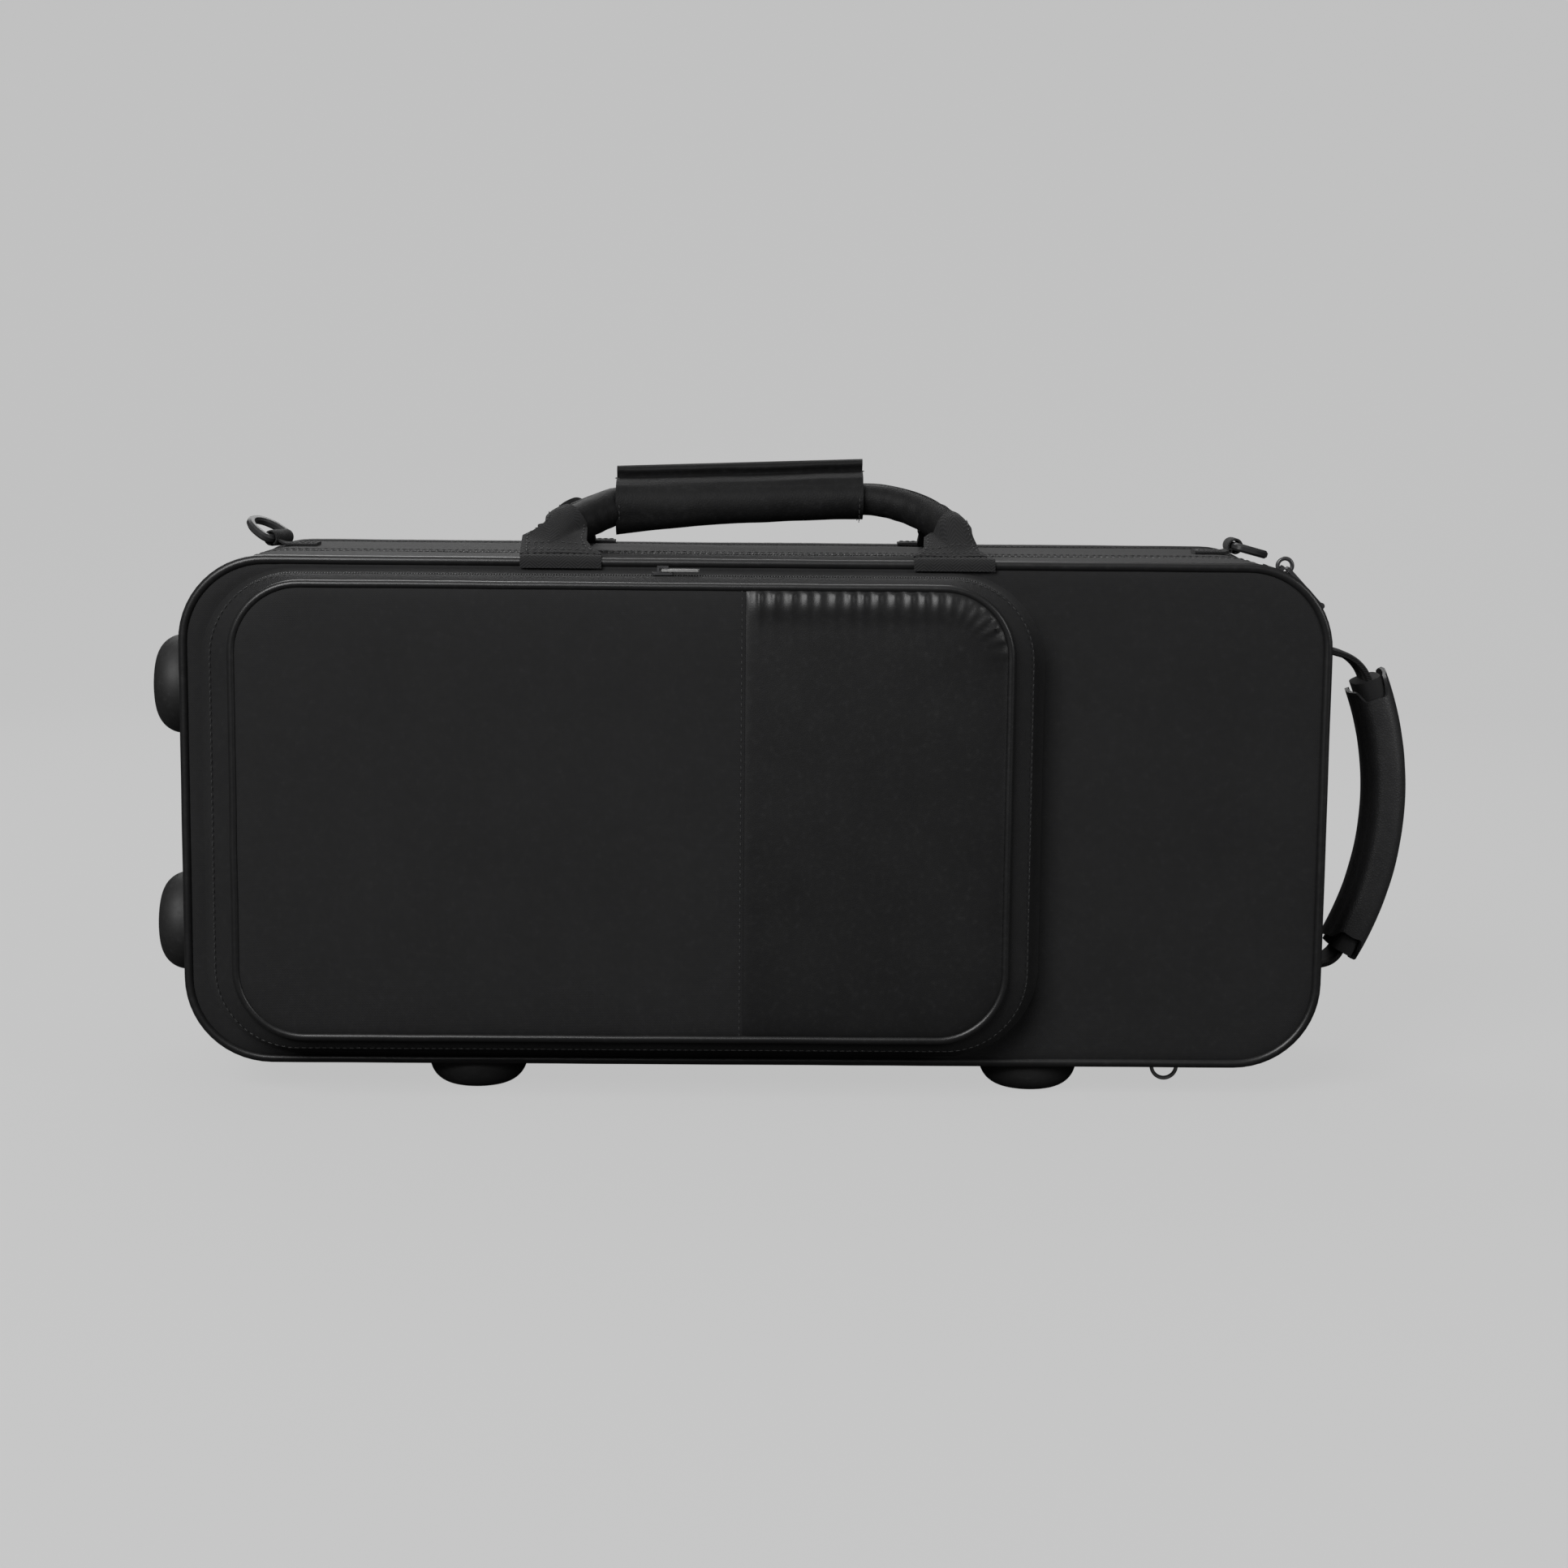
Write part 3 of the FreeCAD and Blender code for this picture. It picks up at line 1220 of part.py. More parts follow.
nodes = {
    "base_side_band": side_band(1, base_back_y).cut(screw_holes(base_places)),
    "base_back_panel": base_back_panel(),
    "base_piping": case_piping(base_back_y, -1),
    "base_foam_shell": foam_cup(1, base_back_y).cut(screw_holes(base_places)),
    "base_lining": lining_cup(1, base_back_y),
    "base_zip_tape": zip_tape(1),
    "base_zip_coil": zip_coil(1),
    "base_hinge_strip": hinge_strip(1),
    "base_bottom_feet": feet(base_bottom_places),
    "base_end_feet": feet(base_end_places),
    "base_foot_screws": foot_screws(base_places),
    "rear_handle_tabs": seam_tabs(base_back_y, 1),
    "top_ring_tabs": Part.Compound([top_ring_tab(-1), top_ring_tab(1)]),
    "end_handle_patches": end_patches(),
    "trumpet_bed": trumpet_bed(),
    "mouthpiece_holder": mouthpiece_holder(),
    "accessory_lid": accessory_lid(),
    "accessory_pull_tab": accessory_tab(),
    "lid_side_band": side_band(-1, lid_front_y).cut(screw_holes(lid_places)),
    "lid_front_panel": extruded(case_wire(panel_inset, lid_front_y), cover_wall),
    "lid_piping": case_piping(lid_front_y, 1),
    "lid_foam_shell": foam_cup(-1, lid_front_y).cut(screw_holes(lid_places)),
    "lid_lining": lining_cup(-1, lid_front_y),
    "lid_pad": lid_pad(),
    "lid_zip_tape": zip_tape(-1),
    "lid_zip_coil": zip_coil(-1),
    "lid_hinge_strip": hinge_strip(-1),
    "lid_bottom_feet": feet(lid_bottom_places),
    "lid_end_feet": feet(lid_end_places),
    "lid_foot_screws": foot_screws(lid_places),
    "front_handle_tabs": seam_tabs(lid_front_y, -1),
    "lower_ring_tab": lower_ring_tab(),
    "pocket_rear_gusset": pocket_gusset(1),
    "pocket_rear_zip_tape": pocket_tape(1),
    "pocket_rear_zip_coil": pocket_coil(1),
    "pocket_front_gusset": pocket_gusset(-1),
    "pocket_front_zip_tape": pocket_tape(-1),
    "pocket_front_zip_coil": pocket_coil(-1),
    "pocket_front_panel": pocket_panel(False),
    "pocket_smooth_panel": pocket_panel(True),
    "pocket_piping": pocket_piping(),
    "pocket_zip_slider": pocket_slider(),
    "pocket_zip_pull": pocket_pull(),
    "main_zip_slider": main_slider(),
    "main_pull_ring": pull_ring(),
    "main_pull_tab": pull_tab(),
    "front_handle_strap": handle_strap(front_frame),
    "front_handle_roll": handle_roll(front_frame),
    "front_grip_wrap": grip_wrap(front_frame),
    "rear_handle_strap": handle_strap(rear_frame),
    "rear_handle_roll": handle_roll(rear_frame),
    "rear_grip_wrap": grip_wrap(rear_frame),
    "end_handle_strap": end_strap(),
    "end_grip_foam": end_grip_foam(),
    "end_grip_cover": end_grip_cover(),
    "left_shoulder_ring": top_ring(-1),
    "right_shoulder_ring": top_ring(1),
    "lower_ring": lower_ring(),
}

for name, shape in nodes.items():
    shape.exportStep("parts/" + name + ".step")
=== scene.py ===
import math
import bpy
import bmesh
from bpy.props import FloatProperty, FloatVectorProperty, IntProperty, PointerProperty
from mathutils import Matrix, Vector, noise


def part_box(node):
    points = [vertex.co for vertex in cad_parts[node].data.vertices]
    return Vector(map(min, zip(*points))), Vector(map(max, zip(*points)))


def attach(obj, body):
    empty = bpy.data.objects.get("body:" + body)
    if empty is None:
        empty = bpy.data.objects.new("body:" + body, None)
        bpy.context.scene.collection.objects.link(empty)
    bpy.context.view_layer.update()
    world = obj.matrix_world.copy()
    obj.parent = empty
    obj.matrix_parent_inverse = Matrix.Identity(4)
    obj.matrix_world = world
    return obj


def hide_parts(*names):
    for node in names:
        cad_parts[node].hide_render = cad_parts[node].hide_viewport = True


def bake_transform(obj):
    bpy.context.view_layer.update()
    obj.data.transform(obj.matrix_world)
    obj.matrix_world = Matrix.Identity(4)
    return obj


bl_info = {
    "name": "Soft Trumpet Case",
    "version": (1, 0, 0),
    "blender": (4, 5, 0),
    "location": "3D View > Sidebar > Trumpet Case",
    "description": "Dresses the trumpet case's frame in cloth, padding, zips and handles",
    "category": "Object",
}

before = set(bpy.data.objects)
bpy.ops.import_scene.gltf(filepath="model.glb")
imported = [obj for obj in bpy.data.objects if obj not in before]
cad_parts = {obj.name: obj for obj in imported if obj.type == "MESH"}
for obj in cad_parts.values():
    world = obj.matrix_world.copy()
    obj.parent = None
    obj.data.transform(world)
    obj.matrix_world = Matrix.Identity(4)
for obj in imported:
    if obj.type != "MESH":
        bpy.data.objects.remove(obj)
MM = 0.001

# Boxes of the case and its pocket as left, right, bottom and top, in metres, from the frame
BAND_LOW, BAND_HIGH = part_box("base_side_band")
CASE_BOX = (BAND_LOW[0], BAND_HIGH[0], BAND_LOW[2], BAND_HIGH[2])
CASE_MID_X = (CASE_BOX[0] + CASE_BOX[1]) / 2
CASE_MID_Z = (CASE_BOX[2] + CASE_BOX[3]) / 2
POCKET_LOW, POCKET_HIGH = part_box("pocket_rear_gusset")
POCKET_MID_X = (POCKET_LOW[0] + POCKET_HIGH[0]) / 2

# Upright planes, from the case's split outwards
LID_DEPTH, BASE_DEPTH, POCKET_DEPTH = 65 * MM, 85 * MM, 28 * MM
SPLIT = (BAND_LOW[1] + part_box("lid_side_band")[1][1]) / 2
LID_FRONT, BASE_BACK = SPLIT - LID_DEPTH, SPLIT + BASE_DEPTH
POCKET_FRONT, POCKET_ZIP = LID_FRONT - POCKET_DEPTH, LID_FRONT - POCKET_DEPTH / 2
HALVES = (("base", 1, BASE_BACK), ("lid", -1, LID_FRONT))

# Sizes that several pieces share
CASE_RADIUS = 40 * MM
ZIP_HALF = 6 * MM
HINGE_HALF = 196 * MM
PIPING_INSET = 1.2 * MM
WALL_SEAT = 2.7 * MM

# Points on each long side, short side and corner of an outline
CASE_COUNTS, POCKET_COUNTS = (92, 32, 14), (76, 40, 16)

# Side, top and bottom insets and the corner radius of the pocket at its stages, in millimetres
POCKET_STAGES = {"base": (0, 0, 0, 44), "mid": (7, 1.5, 6, 38.5), "front": (17.5, 4.5, 12.5, 33)}

UP = Vector((0, 0, 1))
MATERIALS = {}


def drawn_in(box, radius, inset):
    """Box and corner radius of an upright rounded rectangle, drawn in on every side."""
    return (box[0] + inset, box[1] - inset, box[2] + inset, box[3] - inset), radius - inset


def outline(box, radius, counts):
    """Points and outward directions round an upright rounded rectangle."""
    x0, x1, z0, z1 = box
    long_count, short_count, corner_count = counts
    out = []
    sides = [
        (Vector((x0 + radius, z0)), Vector((x1 - radius, z0)), (0, -1), long_count),
        (Vector((x1, z0 + radius)), Vector((x1, z1 - radius)), (1, 0), short_count),
        (Vector((x1 - radius, z1)), Vector((x0 + radius, z1)), (0, 1), long_count),
        (Vector((x0, z1 - radius)), Vector((x0, z0 + radius)), (-1, 0), short_count),
    ]
    centres = [(x1 - radius, z0 + radius), (x1 - radius, z1 - radius),
               (x0 + radius, z1 - radius), (x0 + radius, z0 + radius)]
    for k, (a, b, normal, count) in enumerate(sides):
        for i in range(count):
            p = a.lerp(b, i / count)
            out.append((p.x, p.y, normal[0], normal[1]))
        start = math.atan2(normal[1], normal[0])
        for i in range(corner_count):
            angle = start + math.pi / 2 * i / corner_count
            c, s = math.cos(angle), math.sin(angle)
            out.append((centres[k][0] + radius * c, centres[k][1] + radius * s, c, s))
    return out


def stage_box(stage):
    """Box and corner radius of the pocket at its base, its zip or its front."""
    side, top, bottom, radius = (size * MM for size in POCKET_STAGES[stage])
    return (POCKET_LOW[0] + side, POCKET_HIGH[0] - side, POCKET_LOW[2] + bottom,
            POCKET_HIGH[2] - top), radius


def pocket_outline(stage):
    """Outline of the pocket at one of its stages."""
    return outline(*stage_box(stage), POCKET_COUNTS)


def ripple(p, size, amount, seed=0.0):
    """Small smooth unevenness at a point."""
    return amount * noise.noise(Vector(p) / size + Vector((seed, seed * 0.7, 3.1 - seed)))


def face_adder(bm, place):
    """Function that adds faces, with the place that each corner takes on the UV map."""
    uv = bm.loops.layers.uv.new("UVMap")

    def add(*verts):
        for loop in bm.faces.new(verts).loops:
            loop[uv].uv = place(loop.vert.co)

    return add


def finish_mesh(name, bm, material, smooth_angle=50):
    """Turns a bmesh into an object with one material and rounded shading."""
    bmesh.ops.recalc_face_normals(bm, faces=bm.faces)
    mesh = bpy.data.meshes.new(name)
    bm.to_mesh(mesh)
    bm.free()
    mesh.materials.append(MATERIALS[material])
    mesh.shade_smooth()
    mesh.set_sharp_from_angle(angle=math.radians(smooth_angle))
    piece = bpy.data.objects.new(name, mesh)
    bpy.context.collection.objects.link(piece)
    return piece


def tube(name, sections, closed, material, smooth_angle=60):
    """Skin over closed sections that follow a path, with lengths as its UV map."""
    bm = bmesh.new()
    uv = bm.loops.layers.uv.new("UVMap")
    rows = [[bm.verts.new(p) for p in section] for section in sections]
    count = len(sections[0])
    along = [0.0]
    path = sections + [sections[0]] if closed else sections
    for a, b in zip(path, path[1:]):
        along.append(along[-1] + (a[0] - b[0]).length)
    across = [0.0]
    widest = sections[len(sections) // 2]
    for i in range(count):
        across.append(across[-1] + (widest[i] - widest[(i + 1) % count]).length)
    pairs = len(rows) if closed else len(rows) - 1
    for k in range(pairs):
        low, high = rows[k], rows[(k + 1) % len(rows)]
        for i in range(count):
            j = (i + 1) % count
            face = bm.faces.new((low[i], low[j], high[j], high[i]))
            corners = ((along[k], across[i]), (along[k], across[i + 1]),
                       (along[k + 1], across[i + 1]), (along[k + 1], across[i]))
            for loop, corner in zip(face.loops, corners):
                loop[uv].uv = corner
    if not closed:
        for row in (rows[0], rows[-1]):
            face = bm.faces.new(row)
            for loop, distance in zip(face.loops, across):
                loop[uv].uv = (distance, 0)
    return finish_mesh(name, bm, material, smooth_angle)


def band(name, points, profile, material, closed=True, bulge=None):
    """Profile of (outward, depth) pairs carried round an outline."""
    sections = []
    for x, z, nx, nz in points:
        section = []
        for n, y in profile:
            lift = bulge((x, y, z), n) if bulge else 0
            section.append(Vector((x + nx * (n + lift), y, z + nz * (n + lift))))
        sections.append(section)
    return tube(name, sections, closed, material)


def loft_band(name, points_a, y_a, points_b, y_b, wall, steps, material, bulge):
    """Soft wall between two outlines of one pocket."""
    sections = []
    for (xa, za, nx, nz), (xb, zb, _, _) in zip(points_a, points_b):
        outer, inner = [], []
        for k in range(steps + 1):
            t = k / steps
            x, z, y = xa + (xb - xa) * t, za + (zb - za) * t, y_a + (y_b - y_a) * t
            lift = bulge((x, y, z), t)
            outer.append(Vector((x + nx * lift, y, z + nz * lift)))
            inner.append(Vector((x + nx * (lift - wall), y, z + nz * (lift - wall))))
        sections.append(outer + inner[::-1])
    return tube(name, sections, True, material)


def edge_distance(x, z, box, radius):
    """How far a point lies inside an upright rounded rectangle."""
    cx, cz = (box[0] + box[1]) / 2, (box[2] + box[3]) / 2
    qx = abs(x - cx) - (box[1] - box[0]) / 2 + radius
    qz = abs(z - cz) - (box[3] - box[2]) / 2 + radius
    return radius - math.hypot(max(qx, 0), max(qz, 0)) - min(max(qx, qz), 0)


def half_width_at(z, box, radius):
    """Half the width of an upright rounded rectangle at a height."""
    drop = max(0.0, abs(z - (box[2] + box[3]) / 2) - (box[3] - box[2]) / 2 + radius)
    return (box[1] - box[0]) / 2 - radius + math.sqrt(max(0.0, radius ** 2 - drop ** 2))


def panel(name, box, radius, surface, back_y, counts, material, clip=None):
    """Padded panel: a soft face over a rounded rectangle and a flat back."""
    columns, rows = counts
    mid_x = (box[0] + box[1]) / 2
    mid_z, half_z = (box[2] + box[3]) / 2, (box[3] - box[2]) / 2
    left_clip, right_clip = clip or (box[0], box[1])
    bm = bmesh.new()
    add = face_adder(bm, lambda co: (co.x, co.z))
    front, back = [], []

    def crowded(k, count, share):
        """Place from -1 to 1 of a row or column; a larger share crowds them at the ends."""
        return math.sin((-1 + 2 * k / count) * math.pi / 2 * share) / math.sin(math.pi / 2 * share)

    for r in range(rows + 1):
        z = mid_z + half_z * crowded(r, rows, 0.94)
        half_x = half_width_at(z, box, radius)
        x0, x1 = max(mid_x - half_x, left_clip), min(mid_x + half_x, right_clip)
        front.append([])
        back.append([])
        for c in range(columns + 1):
            x = x0 + (x1 - x0) * (crowded(c, columns, 0.9) + 1) / 2
            front[-1].append(bm.verts.new((x, surface(x, z), z)))
            back[-1].append(bm.verts.new((x, back_y, z)))

    for r in range(rows):
        for c in range(columns):
            add(front[r][c], front[r][c + 1], front[r + 1][c + 1], front[r + 1][c])
            add(back[r][c], back[r + 1][c], back[r + 1][c + 1], back[r][c + 1])
    for r in range(rows):
        for c in (0, columns):
            add(front[r][c], front[r + 1][c], back[r + 1][c], back[r][c])
    for c in range(columns):
        for r in (0, rows):
            add(front[r][c], front[r][c + 1], back[r][c + 1], back[r][c])
    return finish_mesh(name, bm, material)


def belongs(piece, body, slot, *nodes, fill=None):
    """Ties a finished piece to its body and hides the nodes it stands for."""
    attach(piece, body)
    if nodes:
        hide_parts(*nodes)
    return piece


class Wiring:
    """One node tree, with short calls that add and join its nodes."""

    def __init__(self, tree):
        self.tree = tree

    def node(self, kind, inputs=None, **settings):
        """New node with its settings and inputs."""
        made = self.tree.nodes.new(kind)
        for key, value in settings.items():
            setattr(made, key, value)
        return self.feed(made, inputs or {})

    def feed(self, node, inputs):
        """Gives each input of a node its value, or a link from another node's socket."""
        for socket, value in inputs.items():
            if isinstance(value, bpy.types.NodeSocket):
                self.tree.links.new(value, node.inputs[socket])
            else:
                node.inputs[socket].default_value = value
        return node

    def math(self, operation, *values):
        """Result of a math node."""
        return self.node("ShaderNodeMath", dict(enumerate(values)), operation=operation).outputs[0]

    def noise(self, vector, scale, detail=3.0, roughness=0.55):
        """Value of a noise texture."""
        inputs = {"Vector": vector, "Scale": scale, "Detail": detail, "Roughness": roughness}
        return self.node("ShaderNodeTexNoise", inputs).outputs[0]


def new_group(name, outputs=("Height", "Shade"), **inputs):
    """Shader group on a vector: its wiring, its inputs' sockets and the node for its results."""
    tree = bpy.data.node_groups.new(name, "ShaderNodeTree")
    tree.interface.new_socket(name="Vector", in_out="INPUT", socket_type="NodeSocketVector")
    for socket, value in inputs.items():
        made = tree.interface.new_socket(name=socket.replace("_", " "), in_out="INPUT",
                                         socket_type="NodeSocketFloat")
        made.default_value = value
    for socket in outputs:
        tree.interface.new_socket(name=socket, in_out="OUTPUT", socket_type="NodeSocketFloat")
    wires = Wiring(tree)
    return wires, wires.node("NodeGroupInput").outputs, wires.node("NodeGroupOutput")


def weave_group():
    """Plain weave: threads that pass over and under each other."""
    wires, given, end = new_group("Weave", Threads=2200.0, Unevenness=0.15)
    scaled = wires.node("ShaderNodeVectorMath", {0: given["Vector"], "Scale": given["Threads"]},
                        operation="SCALE").outputs[0]
    axes = wires.node("ShaderNodeSeparateXYZ", {0: scaled}).outputs
    waves = [wires.math("SINE", wires.math("MULTIPLY", axes[k], math.pi)) for k in (0, 1)]
    over = wires.math("GREATER_THAN", wires.math("MULTIPLY", *waves), 0.0)
    warp = wires.math("MULTIPLY", wires.math("ABSOLUTE", waves[1]), over)
    weft = wires.math("MULTIPLY", wires.math("ABSOLUTE", waves[0]), wires.math("SUBTRACT", 1.0, over))
    height = wires.math("ADD", warp, weft)
    slub = wires.noise(scaled, 0.09, 2.0)
    wires.feed(end, {
        "Height": wires.math("ADD", height, wires.math("MULTIPLY", slub, given["Unevenness"])),
        "Shade": wires.math("ADD", wires.math("MULTIPLY", height, 0.35), slub)})
    return wires.tree


def rib_group():
    """Webbing: slanted ribs that turn back in a herringbone."""
    wires, given, end = new_group("Webbing Ribs", Ribs=900.0, Column_Width=0.005)
    axes = wires.node("ShaderNodeSeparateXYZ", {0: given["Vector"]}).outputs
    column = wires.math("PINGPONG", axes[1], given["Column Width"])
    slant = wires.math("ADD", axes[0], wires.math("MULTIPLY", column, 0.8))
    phase = wires.math("MULTIPLY", wires.math("MULTIPLY", slant, given["Ribs"]), 2 * math.pi)
    rib = wires.math("MULTIPLY_ADD", wires.math("SINE", phase), 0.5, 0.5)
    threads = wires.math("SINE", wires.math("MULTIPLY", axes[1], 5200.0))
    height = wires.math("ADD", rib, wires.math("MULTIPLY", threads, 0.12))
    wires.feed(end, {"Height": height, "Shade": rib})
    return wires.tree


def grain_group():
    """Pebbled grain of vinyl: cells with soft edges and a finer crackle."""
    wires, given, end = new_group("Vinyl Grain", Cells=900.0)
    cells = wires.node("ShaderNodeTexVoronoi", {"Vector": given["Vector"], "Scale": given["Cells"]},
                       feature="DISTANCE_TO_EDGE")
    edge = wires.math("MINIMUM", wires.math("MULTIPLY", cells.outputs["Distance"], 3.0), 1.0)
    fine = wires.noise(given["Vector"], 2600.0, 2.0)
    broad = wires.noise(given["Vector"], 60.0)
    wires.feed(end, {"Height": wires.math("ADD", edge, wires.math("MULTIPLY", fine, 0.3)),
                     "Shade": wires.math("ADD", wires.math("MULTIPLY", edge, 0.4), broad)})
    return wires.tree


def plush_group():
    """Short pile: fine tufts, and broad patches where the nap lies over."""
    wires, given, end = new_group("Plush Pile", Tufts=1500.0)
    tufts = wires.noise(given["Vector"], given["Tufts"], 4.0, 0.7)
    nap = wires.noise(given["Vector"], 28.0)
    streaks = wires.node("ShaderNodeTexWave", {"Vector": given["Vector"], "Scale": 9.0,
                                               "Distortion": 9.0, "Detail": 3.0}).outputs[1]
    wires.feed(end, {"Height": tufts,
                     "Shade": wires.math("ADD", wires.math("MULTIPLY", nap, 0.8),
                                         wires.math("MULTIPLY", streaks, 0.15))})
    return wires.tree


def handling_group():
    """Handling marks: faint broad smudges and a few fine scuffs, from 0 to 1."""
    wires, given, end = new_group("Handling Marks", ("Mask",), Amount=0.3)
    smudge = wires.noise(given["Vector"], 22.0, 4.0, 0.6)
    scuff = wires.math("POWER", wires.noise(given["Vector"], 380.0, 2.0, 0.4), 5.0)
    both = wires.math("ADD", wires.math("MULTIPLY", smudge, 0.8), wires.math("MULTIPLY", scuff, 2.0))
    wires.feed(end, {"Mask": wires.math("MULTIPLY", both, given["Amount"])})
    return wires.tree


DUST = (0.09, 0.09, 0.092, 1)


def surface_material(name, groups, pattern, settings, colours, roughness, bump, uses_uv=False,
                     marks=0.3, **fixed):
    """Material of one finish: a pattern group, handling marks and a shader."""
    material = bpy.data.materials.new(name)
    material.use_nodes = True
    wires = Wiring(material.node_tree)
    place = wires.node("ShaderNodeTexCoord").outputs
    pattern = wires.node("ShaderNodeGroup", {"Vector": place["UV" if uses_uv else "Object"], **settings},
                         node_tree=groups[pattern]).outputs
    worn = wires.node("ShaderNodeGroup", {"Vector": place["Object"], "Amount": marks},
                      node_tree=groups["marks"]).outputs["Mask"]
    ramp = wires.node("ShaderNodeValToRGB", {"Fac": pattern["Shade"]})
    for element, position, colour in zip(ramp.color_ramp.elements, (0.25, 0.95), colours):
        element.position = position
        element.color = (*colour, 1)
    dusty = wires.node("ShaderNodeMix", {"Factor": wires.math("MULTIPLY", worn, 0.3),
                                         "A": ramp.outputs["Color"], "B": DUST}, data_type="RGBA")
    rough = wires.math("ADD", wires.math("MULTIPLY", worn, 0.35), roughness - 0.05)
    relief = wires.node("ShaderNodeBump", {"Strength": bump[0], "Distance": bump[1] * MM,
                                           "Height": pattern["Height"]})
    shader = material.node_tree.nodes["Principled BSDF"]
    wires.feed(shader, {"Base Color": dusty.outputs["Result"], "Roughness": rough,
                        "Normal": relief.outputs["Normal"]})
    wires.feed(shader, {socket.replace("_", " "): value for socket, value in fixed.items()})
    return material


def make_materials(look):
    """Every finish of the case, by the name of its material."""
    groups = {"weave": weave_group(), "ribs": rib_group(), "grain": grain_group(),
              "plush": plush_group(), "marks": handling_group()}
    cloth, vinyl, pile = look.cloth_colour, look.vinyl_colour, look.pile_colour

    def add(key, name, pattern, detail, colours, roughness, bump, uses_uv, marks, **fixed):
        """Keeps a finish; its colours are two, or one with the shares for its hollows and heights."""
        if len(colours) == 3:
            colour, *shares = colours
            colours = [tuple(c * share for c in colour) for share in shares]
        MATERIALS[key] = surface_material(name, groups, pattern, detail, colours, roughness, bump,
                                          uses_uv, marks, **fixed)

    add("cloth", "Woven cover cloth", "weave", {"Threads": 1700.0}, (cloth, 0.8, 1), 0.72, (0.35, 0.2),
        True, 0.35, Sheen_Weight=0.05, Sheen_Roughness=0.5, Specular_IOR_Level=0.18)
    add("coated", "Coated cloth", "grain", {"Cells": 1300.0}, (cloth, 0.6, 0.8), 0.4, (0.16, 0.12),
        False, 0.25, Specular_IOR_Level=0.4)
    add("piping", "Piping vinyl", "grain", {"Cells": 1500.0}, (vinyl, 0.75, 1), 0.36, (0.18, 0.12),
        False, 0.35, Coat_Weight=0.2, Coat_Roughness=0.25, Specular_IOR_Level=0.35)
    add("vinyl", "Padded grip vinyl", "grain", {"Cells": 800.0}, (vinyl, 0.2, 0.4), 0.55, (0.3, 0.2),
        False, 0.45, Specular_IOR_Level=0.15)
    # End grip vinyl is the grip vinyl made several times lighter: a lit copy whose lighter colour is a
    # painted highlight on the end grip's front
    add("grip", "End grip vinyl", "grain", {"Cells": 800.0}, (vinyl, 2.2, 4.0), 0.42, (0.3, 0.2),
        False, 0.45, Specular_IOR_Level=0.5)
    add("webbing", "Woven webbing", "ribs", {"Ribs": 700.0, "Column Width": 4.5 * MM},
        (cloth, 0.6, 1.3), 0.78, (0.5, 0.3), True, 0.3, Sheen_Weight=0.06, Specular_IOR_Level=0.25)
    add("tape", "Zip tape", "ribs", {"Ribs": 1100.0, "Column Width": 2 * MM}, (cloth, 0.5, 0.95), 0.8,
        (0.4, 0.15), True, 0.25, Sheen_Weight=0.05, Specular_IOR_Level=0.2)
    add("coil", "Nylon zip coil", "grain", {"Cells": 2500.0}, (vinyl, 0.6, 0.9), 0.38, (0.1, 0.05),
        False, 0.3)
    add("thread", "Sewing thread", "ribs", {"Ribs": 2600.0, "Column Width": 0.4 * MM},
        (cloth, 0.9, 1.9), 0.55, (0.3, 0.06), False, 0.2, Sheen_Weight=0.2)
    add("plush", "Plush lining", "plush", {"Tufts": 1500.0}, (pile, 0.6, 1.5), 0.9, (0.7, 0.5), False,
        0.2, Sheen_Weight=0.4, Sheen_Roughness=0.4, Specular_IOR_Level=0.15)
    add("foam", "Grey foam", "plush", {"Tufts": 900.0}, ((0.012, 0.012, 0.0125), (0.028, 0.028, 0.029)),
        0.92, (0.4, 0.4), False, 0.2)
    add("rubber", "Foot rubber", "grain", {"Cells": 1700.0}, ((0.005, 0.005, 0.005), (0.01, 0.01, 0.01)),
        0.58, (0.15, 0.1), False, 0.5)
    add("black_metal", "Black lacquered metal", "grain", {"Cells": 500.0},
        ((0.022, 0.022, 0.024), (0.04, 0.04, 0.042)), 0.3, (0.04, 0.04), False, 0.5,
        Coat_Weight=0.6, Coat_Roughness=0.15)
    add("bright_metal", "Plated metal", "grain", {"Cells": 400.0}, ((0.42, 0.42, 0.42), (0.62, 0.62, 0.61)),
        0.3, (0.03, 0.03), False, 0.4, Metallic=0.7)
    add("black_plastic", "Moulded black plastic", "grain", {"Cells": 1900.0},
        ((0.014, 0.014, 0.015), (0.03, 0.03, 0.031)), 0.34, (0.08, 0.05), False, 0.45)


